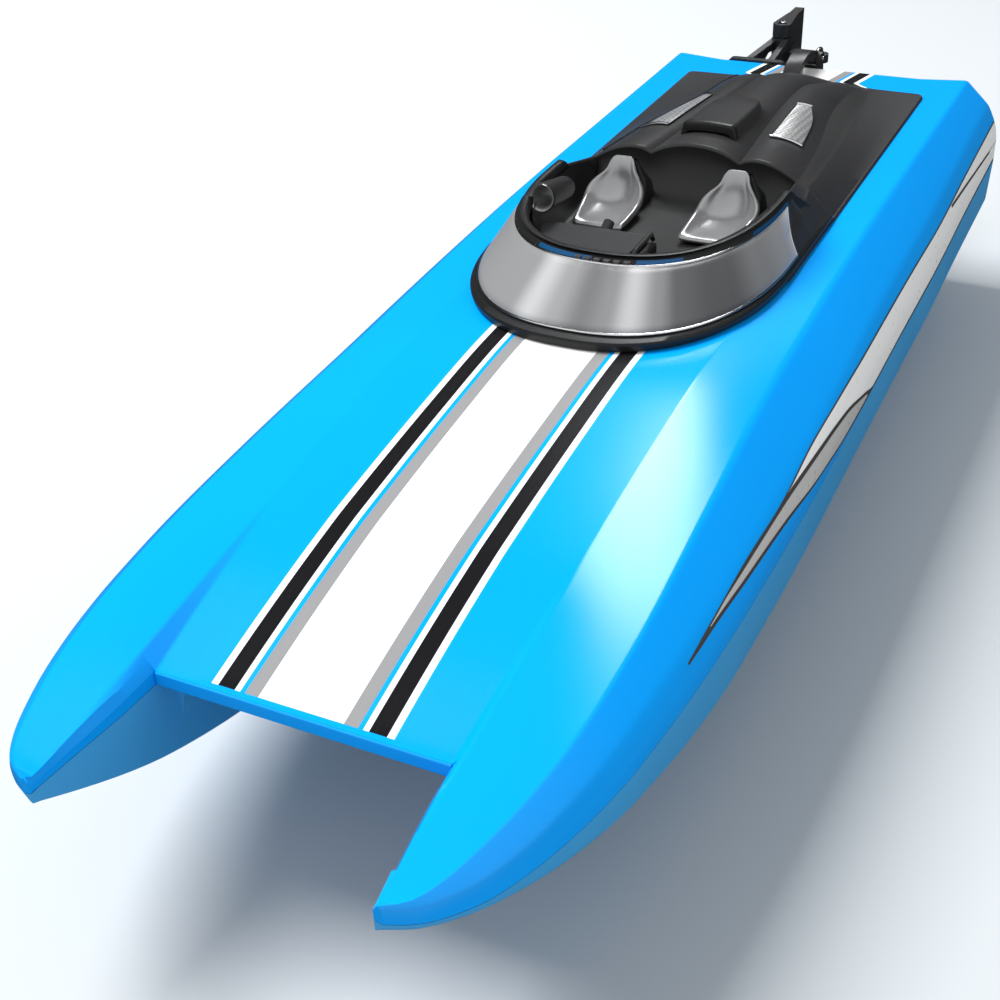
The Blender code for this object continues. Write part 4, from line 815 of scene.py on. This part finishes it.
    band = []
    for k, z in enumerate(spread(0.0421, 0.0498, 9)):
        t = k / 8
        tail = mix(0.1200, 0.1150, t) + 0.0014 * math.sin(math.pi * t)
        band.append(outline(level(z), 0.0, tail, z))
    screen = canopy_piece("windshield", grid(band), "screen", ("windshield_band",),
                   sharp=0)
    thicken(screen, 0.0005, 0.0)
    for name, ring in (("foot", 0), ("top", 8)):
        path = [Vector(point) + Vector((0, 0, 0.0001)) for point in band[ring]]
        canopy_piece(f"windshield_trim_{name}", sweep(path, 0.00028, 10), "chrome")
    for side, label in ((0, "right"), (-1, "left")):
        path = [Vector(row[side]) for row in band]
        canopy_piece(f"windshield_trim_{label}", sweep(path, 0.00034, 10), "chrome")


def bulkhead_x(t):
    """Curve of the cockpit's back wall: t 0 at the top and 1 at the floor."""
    return COCKPIT_X + 0.0004 + 0.0085 * (1 - math.cos(t * QUARTER_TURN))


def liner_point(x, y, z):
    """Keep the liner under the coaming's low tails."""
    if x < 0.1100:
        return (x, y, min(z, mix(0.0470, 0.0500, (x - COCKPIT_X) / 0.0130)))
    return (x, y, z)


def make_cockpit():
    """Tub with a broad curve from the humps' bulkhead down to the floor."""
    rings = []
    for k in range(15):
        t = k / 14
        z = mix(0.0500, FLOOR_Z, math.sin(t * QUARTER_TURN))
        shrink = -0.0026 - 0.0040 * (1 - math.cos(t * QUARTER_TURN))
        rings.append([liner_point(*point) for point in outline(1.0, shrink, bulkhead_x(t), z)])
    floor = grid(rings)
    floor.verts.ensure_lookup_table()
    floor.faces.new(floor.verts[-len(rings[-1]):])
    canopy_piece("cockpit_liner", floor, "cockpit", ("cockpit_tub",), sharp=0)

    rows = []
    for k in range(19):
        t = k / 18
        fall = math.sin(t * QUARTER_TURN)
        rows.append([(bulkhead_x(t), y, mix(hump_z(COCKPIT_X, y) - 0.0006, FLOOR_Z, fall))
                     for y in spread(-0.0219, 0.0219, 61)])
    canopy_piece("bulkhead", grid(rows), "cockpit", sharp=0)


def seat_rows():
    """Seat profile from the top of the headrest to the front of the cushion:
    (x offset, height, half width, side rise, hollow)."""
    return [(-0.0044, 0.0520, 0.0012, 0.0000, 0.0), (-0.0043, 0.0519, 0.0021, 0.0001, 0.0),
            (-0.0038, 0.0513, 0.0027, 0.0003, 0.0), (-0.0034, 0.0505, 0.0030, 0.0005, 0.0001),
            (-0.0030, 0.0495, 0.0032, 0.0007, 0.0002), (-0.0026, 0.0485, 0.0040, 0.0012, 0.0004),
            (-0.0022, 0.0477, 0.0048, 0.0018, 0.0006), (-0.0016, 0.0466, 0.0054, 0.0024, 0.0007),
            (-0.0008, 0.0454, 0.0057, 0.0028, 0.0008), (0.0002, 0.0444, 0.0058, 0.0029, 0.0007),
            (0.0016, 0.0437, 0.0059, 0.0028, 0.0006), (0.0036, 0.0434, 0.0059, 0.0025, 0.0004),
            (0.0060, 0.0434, 0.0059, 0.0021, 0.0002), (0.0084, 0.0436, 0.0058, 0.0016, 0.0001),
            (0.0104, 0.0438, 0.0057, 0.0011, 0.0), (0.0120, 0.0439, 0.0056, 0.0008, 0.0),
            (0.0127, 0.0437, 0.0055, 0.0006, 0.0), (0.0130, 0.0430, 0.0054, 0.0004, 0.0)]


def make_seat(label, side):
    profile = seat_rows()
    rows = []
    for index, (x, z, half_width, rise, hollow) in enumerate(profile):
        before, after = profile[max(index - 1, 0)], profile[min(index + 1, len(profile) - 1)]
        along = Vector((after[0] - before[0], 0, after[1] - before[1])).normalized()
        outward = Vector((-along.z, 0, along.x))
        if outward.z < 0 and outward.x < 0:
            outward = -outward
        middle = Vector((SEAT_X + x, side * (SEAT_Y - 0.08 * max(0.0, x)), z))
        row = []
        for across in spread(-1, 1, 17):
            share = abs(across)
            lift = rise * max(0.0, (share - 0.55) / 0.45) ** 1.6 - hollow * max(0.0, 1 - (share / 0.5) ** 2)
            if share > 0.93:
                lift -= 0.0006
            row.append(middle + Vector((0, across * half_width, 0)) + outward * lift)
        rows.append(row)
    seat = canopy_piece(f"seat_shell_{label}", grid(rows), "silver", (f"seat_{label}",),
                 sharp=0)
    thicken(seat, 0.0013, 1.0)
    subdivide(seat, 1)
    slices = []
    for z in spread(0.0512, 0.0426, 14):
        ahead = SEAT_X + line([(0.0426, -0.0012), (0.0454, -0.0032), (0.0485, -0.0044), (0.0512, -0.0048)], z)
        behind = SEAT_X + mix(-0.0090, -0.0052, (z - 0.0426) / 0.0086)
        half_width = line([(0.0426, 0.0053), (0.0460, 0.0052), (0.0485, 0.0039), (0.0512, 0.0027)], z)
        slices.append([(x, side * SEAT_Y + y, z) for x, y in rounded_box(
            (behind, -half_width), (ahead, half_width), 0.0005, 4)])
    canopy_piece(f"seat_back_{label}", grid(slices, True, True), "rim")
    base = rounded_box((0.1120, side * SEAT_Y - 0.0040), (0.1215, side * SEAT_Y + 0.0040), 0.0012)
    canopy_piece(f"seat_base_{label}", prism(base, 0.0424, 0.0427), "cockpit")


def make_dash():
    inner = [(x, y) for x, y, _ in outline(1.0, -0.0038, 0.1300, 0.0) if x > 0.1305 and y < 0.0030]
    top = [(0.1306, -0.0150)] + inner + [(0.1418, 0.0028), (0.1306, 0.0028)]
    board = canopy_piece("dash_board", prism(top, 0.0425, 0.0469), "plastic",
                  ("dashboard",))
    bevel(board, 0.0004, 3)
    low = [(0.1306, 0.0030), (0.1418, 0.0030), (0.1414, 0.0046), (0.1306, 0.0046)]
    bevel(canopy_piece("dash_step", prism(low, 0.0425, 0.0455), "cockpit"), 0.0003)


def make_intake():
    tilt = Matrix.Translation((0.1250, -0.0193, 0.0503)) @ Matrix.Rotation(math.radians(-10), 4, "Y")
    shell = [(-0.0060, 0.0002), (-0.0060, 0.0016), (-0.0057, 0.0021), (-0.0050, 0.0023), (0.0000, 0.00255),
             (0.0052, 0.0028), (0.0060, 0.0028), (0.0062, 0.0027)]
    canopy_piece("intake_body", turned(shell, 48, tilt), "canopy",
          ("intake_tube",), sharp=50)
    mouth = [(0.0060, 0.00275), (0.0063, 0.00265), (0.0062, 0.0024), (0.0050, 0.0021), (0.0030, 0.0014),
             (0.0014, 0.0008), (0.0008, 0.0001)]
    canopy_piece("intake_mouth", turned(mouth, 48, tilt), "silver",
          ("intake_liner",), sharp=60)


def scoop_section(x, width, top, count=25):
    """Arch over the canopy's back: upright sides and a nearly flat crown."""
    row = []
    for share in spread(-1, 1, count):
        upright = min(1.0, 2.2 * (1 - abs(share) ** 6))
        y = share * width * (1 - 0.03 * upright)
        row.append((x, y, mix(hump_z(x, y) - 0.0002, top - 0.0004 * share * share, upright)))
    return row


def make_scoop():
    rows = []
    for t in [0.004, 0.02, 0.05, 0.09] + spread(0.13, 1.0, 22):
        x = mix(0.0630, 0.0868, t)
        swell = (1 - (1 - min(1.0, t / 0.42)) ** 2.4) ** (1 / 2.4)
        top = mix(hump_z(x, 0) + 0.0001, mix(0.0532, 0.0544, t), swell)
        rows.append(scoop_section(x, mix(0.0058, 0.0062, t) * swell, top))
    canopy_piece("scoop_skin", grid(rows), "canopy", ("air_scoop",), sharp=50)
    outer = [scoop_section(x, 0.0062 - inset, 0.0545 - inset) for x, inset in (
        (0.0866, 0.0), (0.0882, -0.0001), (0.0885, 0.0001), (0.0886, 0.0004))]
    inner = [[(x, y * 0.90, max(z - 0.0013, hump_z(x, y) + 0.0002)) for _, y, z in outer[3]]
             for x in (0.0886, 0.0883, 0.0850)]
    lip = grid(outer + inner)
    lip.verts.ensure_lookup_table()
    lip.faces.new(lip.verts[-len(outer[0]):])
    canopy_piece("scoop_lip", lip, "rim", sharp=40)


def make_grilles():
    for side, label in ((1, "left"), (-1, "right")):
        rows = []
        for t in spread(0, 1, 25):
            inner, outer = mix(0.0100, 0.0114, t), line([(0.0, 0.0129), (0.35, 0.0157), (1.0, 0.0181)], t)
            row = []
            for share in spread(0, 1, 13):
                x, y = mix(mix(0.0566, 0.0817, t), mix(0.0546, 0.0805, t), share), mix(inner, outer, share)
                row.append((x, side * y, hump_z(x, y) + 0.00022))
            rows.append(row)
        canopy_piece(f"louvre_{label}", grid(rows), "grille", (f"grille_{label}",),
              sharp=0)
        loop = [row[0] for row in rows] + rows[-1][1:] + [row[-1] for row in reversed(rows[:-1])]
        loop += list(reversed(rows[0][1:-1]))
        path = [Vector(point) for point in loop] + [Vector(loop[0])]
        canopy_piece(f"louvre_frame_{label}", sweep(path, 0.00014, 8), "rim")
        for end, row in (("rear", rows[0]), ("front", rows[-1])):
            bar = [Vector(point) + Vector((0.0001, 0, 0.0002)) for point in row]
            canopy_piece(f"louvre_bar_{end}_{label}", sweep(bar, 0.00030, 10), "chrome")
    # Painted shadow: a black line on the starboard hump foot only, standing in for the shade along the step
    # there
    shade_path = [Vector((x, -(at(HUMP_FOOT, x)[0] + 0.0001), at(HUMP_FOOT, x)[1] + 0.0001))
              for x in spread(0.0200, 0.0930, 40)]
    canopy_piece("hump_foot_painted_shadow_right", sweep(shade_path, 0.00036, 8), "rubber")


# ------------------------------------------------------------------ carried-over hardware
def soften(node, look, width=0.00018, segments=2):
    """Give a carried-over part a material and slightly rounded edges."""
    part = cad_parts[node]
    part.data.materials.clear()
    part.data.materials.append(look)
    weld = part.modifiers.new("weld", "WELD")
    weld.merge_threshold = 0.000002
    bevel(part, width, segments, 40)
    part.data.shade_smooth()
    smooth = part.modifiers.new("normals", "WEIGHTED_NORMAL")
    smooth.keep_sharp = False


def make_hardware():
    plan = {
        "plastic": ("rudder", "rudder_bracket", "latch_base", "canopy_latch", "propeller", "antenna"),
        "case": ("servo_case", "servo_cradle", "motor_end_cap", "control_box"),
        "steel": ("latch_pin", "bracket_screw_left", "bracket_screw_right", "rudder_pin",
                  "servo_screw_front", "servo_screw_rear", "horn_screw", "motor_screw_left",
                  "motor_screw_right", "mount_screw_left", "mount_screw_right", "strut_screw_left",
                  "strut_screw_right", "motor_shaft", "drive_shaft", "prop_nut", "motor_can"),
        "rubber": ("rod_grommet", "hatch_seal", "battery_strap"),
        "brass": ("stuffing_tube", "drive_dog"),
        "aluminium": ("servo_horn", "motor_mount", "shaft_coupler", "strut"),
        "wrap": ("battery_pack",),
        "red": ("battery_lead_red", "motor_lead_red"),
        "black_wire": ("battery_lead_black", "motor_lead_black"),
        "canopy": ("steering_bar", "dash_handle"),
    }
    for look, nodes in plan.items():
        for node in nodes:
            soften(node, LOOKS[look])
    rod = bent([(0.0300, -0.0042, 0.0322), (0.0300, -0.0042, 0.0354), (-0.0100, -0.0042, 0.0354),
                (-0.0138, -0.0042, 0.0400), (-0.0170, -0.0042, 0.0400), (-0.0170, -0.0042, 0.0346)], 0.0010)
    piece("steering_wire", sweep(rod, 0.0007, 16), LOOKS["steel"], "pushrod", ("pushrod",))


# ------------------------------------------------------------------ studio
def area_light(name, where, aim, size, power):
    data = bpy.data.lights.new(name, "AREA")
    data.shape = "RECTANGLE"
    data.size, data.size_y = size
    data.energy = power
    lamp = place(name, data)
    lamp.location = Vector(where) + SHIFT
    lamp.rotation_euler = (Vector(aim) - Vector(where)).to_track_quat("-Z", "Y").to_euler()
    lamp.visible_glossy = False
    lamp.visible_camera = False


def make_floor():
    bm = bmesh.new()
    bmesh.ops.create_grid(bm, x_segments=1, y_segments=1, size=3.0)
    mesh = bpy.data.meshes.new("floor")
    bm.to_mesh(mesh)
    bm.free()
    floor = place("floor", mesh)
    floor.location = (0, 0, -0.0126 + SHIFT.z)
    floor.visible_glossy = False
    nodes = Nodes("pale_floor")
    shade = nodes.blend(nodes.noise(3, 2.0), (0.53, 0.555, 0.57), (0.55, 0.575, 0.59))
    mesh.materials.append(nodes.set(shade, 0.85, specular=0.0))


def make_world():
    """Even pale surroundings; mirrored in gloss they are dark behind the boat, with one soft bright panel."""
    world = bpy.data.worlds.new("studio")
    bpy.context.scene.world = world
    world.use_nodes = True
    world.cycles.sampling_method = "NONE"
    tree = world.node_tree

    def node(kind, *inputs, **settings):
        made = tree.nodes.new(kind)
        for key, value in settings.items():
            setattr(made, key, value)
        for socket, value in zip(made.inputs, inputs):
            if isinstance(value, bpy.types.NodeSocket):
                tree.links.new(value, socket)
            else:
                socket.default_value = value
        return made

    def towards(direction, low, high, start, end):
        """Smooth step of how far a ray points along a direction."""
        ray = tree.nodes["Texture Coordinate"].outputs["Generated"]
        along = node("ShaderNodeVectorMath", ray, Vector(direction).normalized(), operation="DOT_PRODUCT")
        return node("ShaderNodeMapRange", along.outputs["Value"], start, end, low, high,
                    interpolation_type="SMOOTHSTEP").outputs[0]

    node("ShaderNodeTexCoord")
    front = towards((0.74, 0.38, 0.55), 0.03, 0.80, 0.05, 0.60)
    panel = towards((-0.679, -0.144, 0.719), 0.0, 20.0, math.cos(math.radians(10.5)),
                    math.cos(math.radians(4)))
    mirrored = node("ShaderNodeMath", front, panel, operation="ADD").outputs[0]
    path = node("ShaderNodeLightPath")
    strength = node("ShaderNodeMix", data_type="FLOAT")
    tree.links.new(path.outputs["Is Glossy Ray"], strength.inputs[0])
    strength.inputs[2].default_value = 0.60
    tree.links.new(mirrored, strength.inputs[3])
    background = tree.nodes["Background"]
    tree.links.new(strength.outputs[0], background.inputs["Strength"])
    background.inputs["Color"].default_value = (0.97, 0.99, 1.0, 1.0)


def make_studio():
    make_floor()
    make_world()
    bpy.context.scene.view_settings.view_transform = "Standard"
    area_light("overhead", (0.12, -0.64, 1.03), (0.12, 0, 0), (0.6, 0.6), 22.0)
    area_light("side_fill", (0.16, 1.00, 0.22), (0.16, 0, 0.02), (1.0, 0.5), 1.7)


def make_camera():
    data = bpy.data.cameras.new("camera")
    data.lens = 53.17
    data.sensor_width = 36.0
    camera = place("camera", data)
    right = Vector((-0.43463, 0.89974, -0.03954))
    up = Vector((-0.5095, -0.2094, 0.8346))
    forward = Vector((-0.74264, -0.38288, -0.54944))
    pose = Matrix((right, up, -forward)).transposed().to_4x4()
    pose.translation = Vector((0.37766, 0.09572, 0.16040)) + SHIFT
    camera.matrix_world = pose
    data.clip_start = 0.01
    bpy.context.scene.camera = camera


make_hull()
make_side_graphics()
make_canopy()
make_cockpit()
make_seat("left", 1)
make_seat("right", -1)
make_dash()
make_intake()
make_scoop()
make_grilles()
make_hardware()
make_studio()
make_camera()
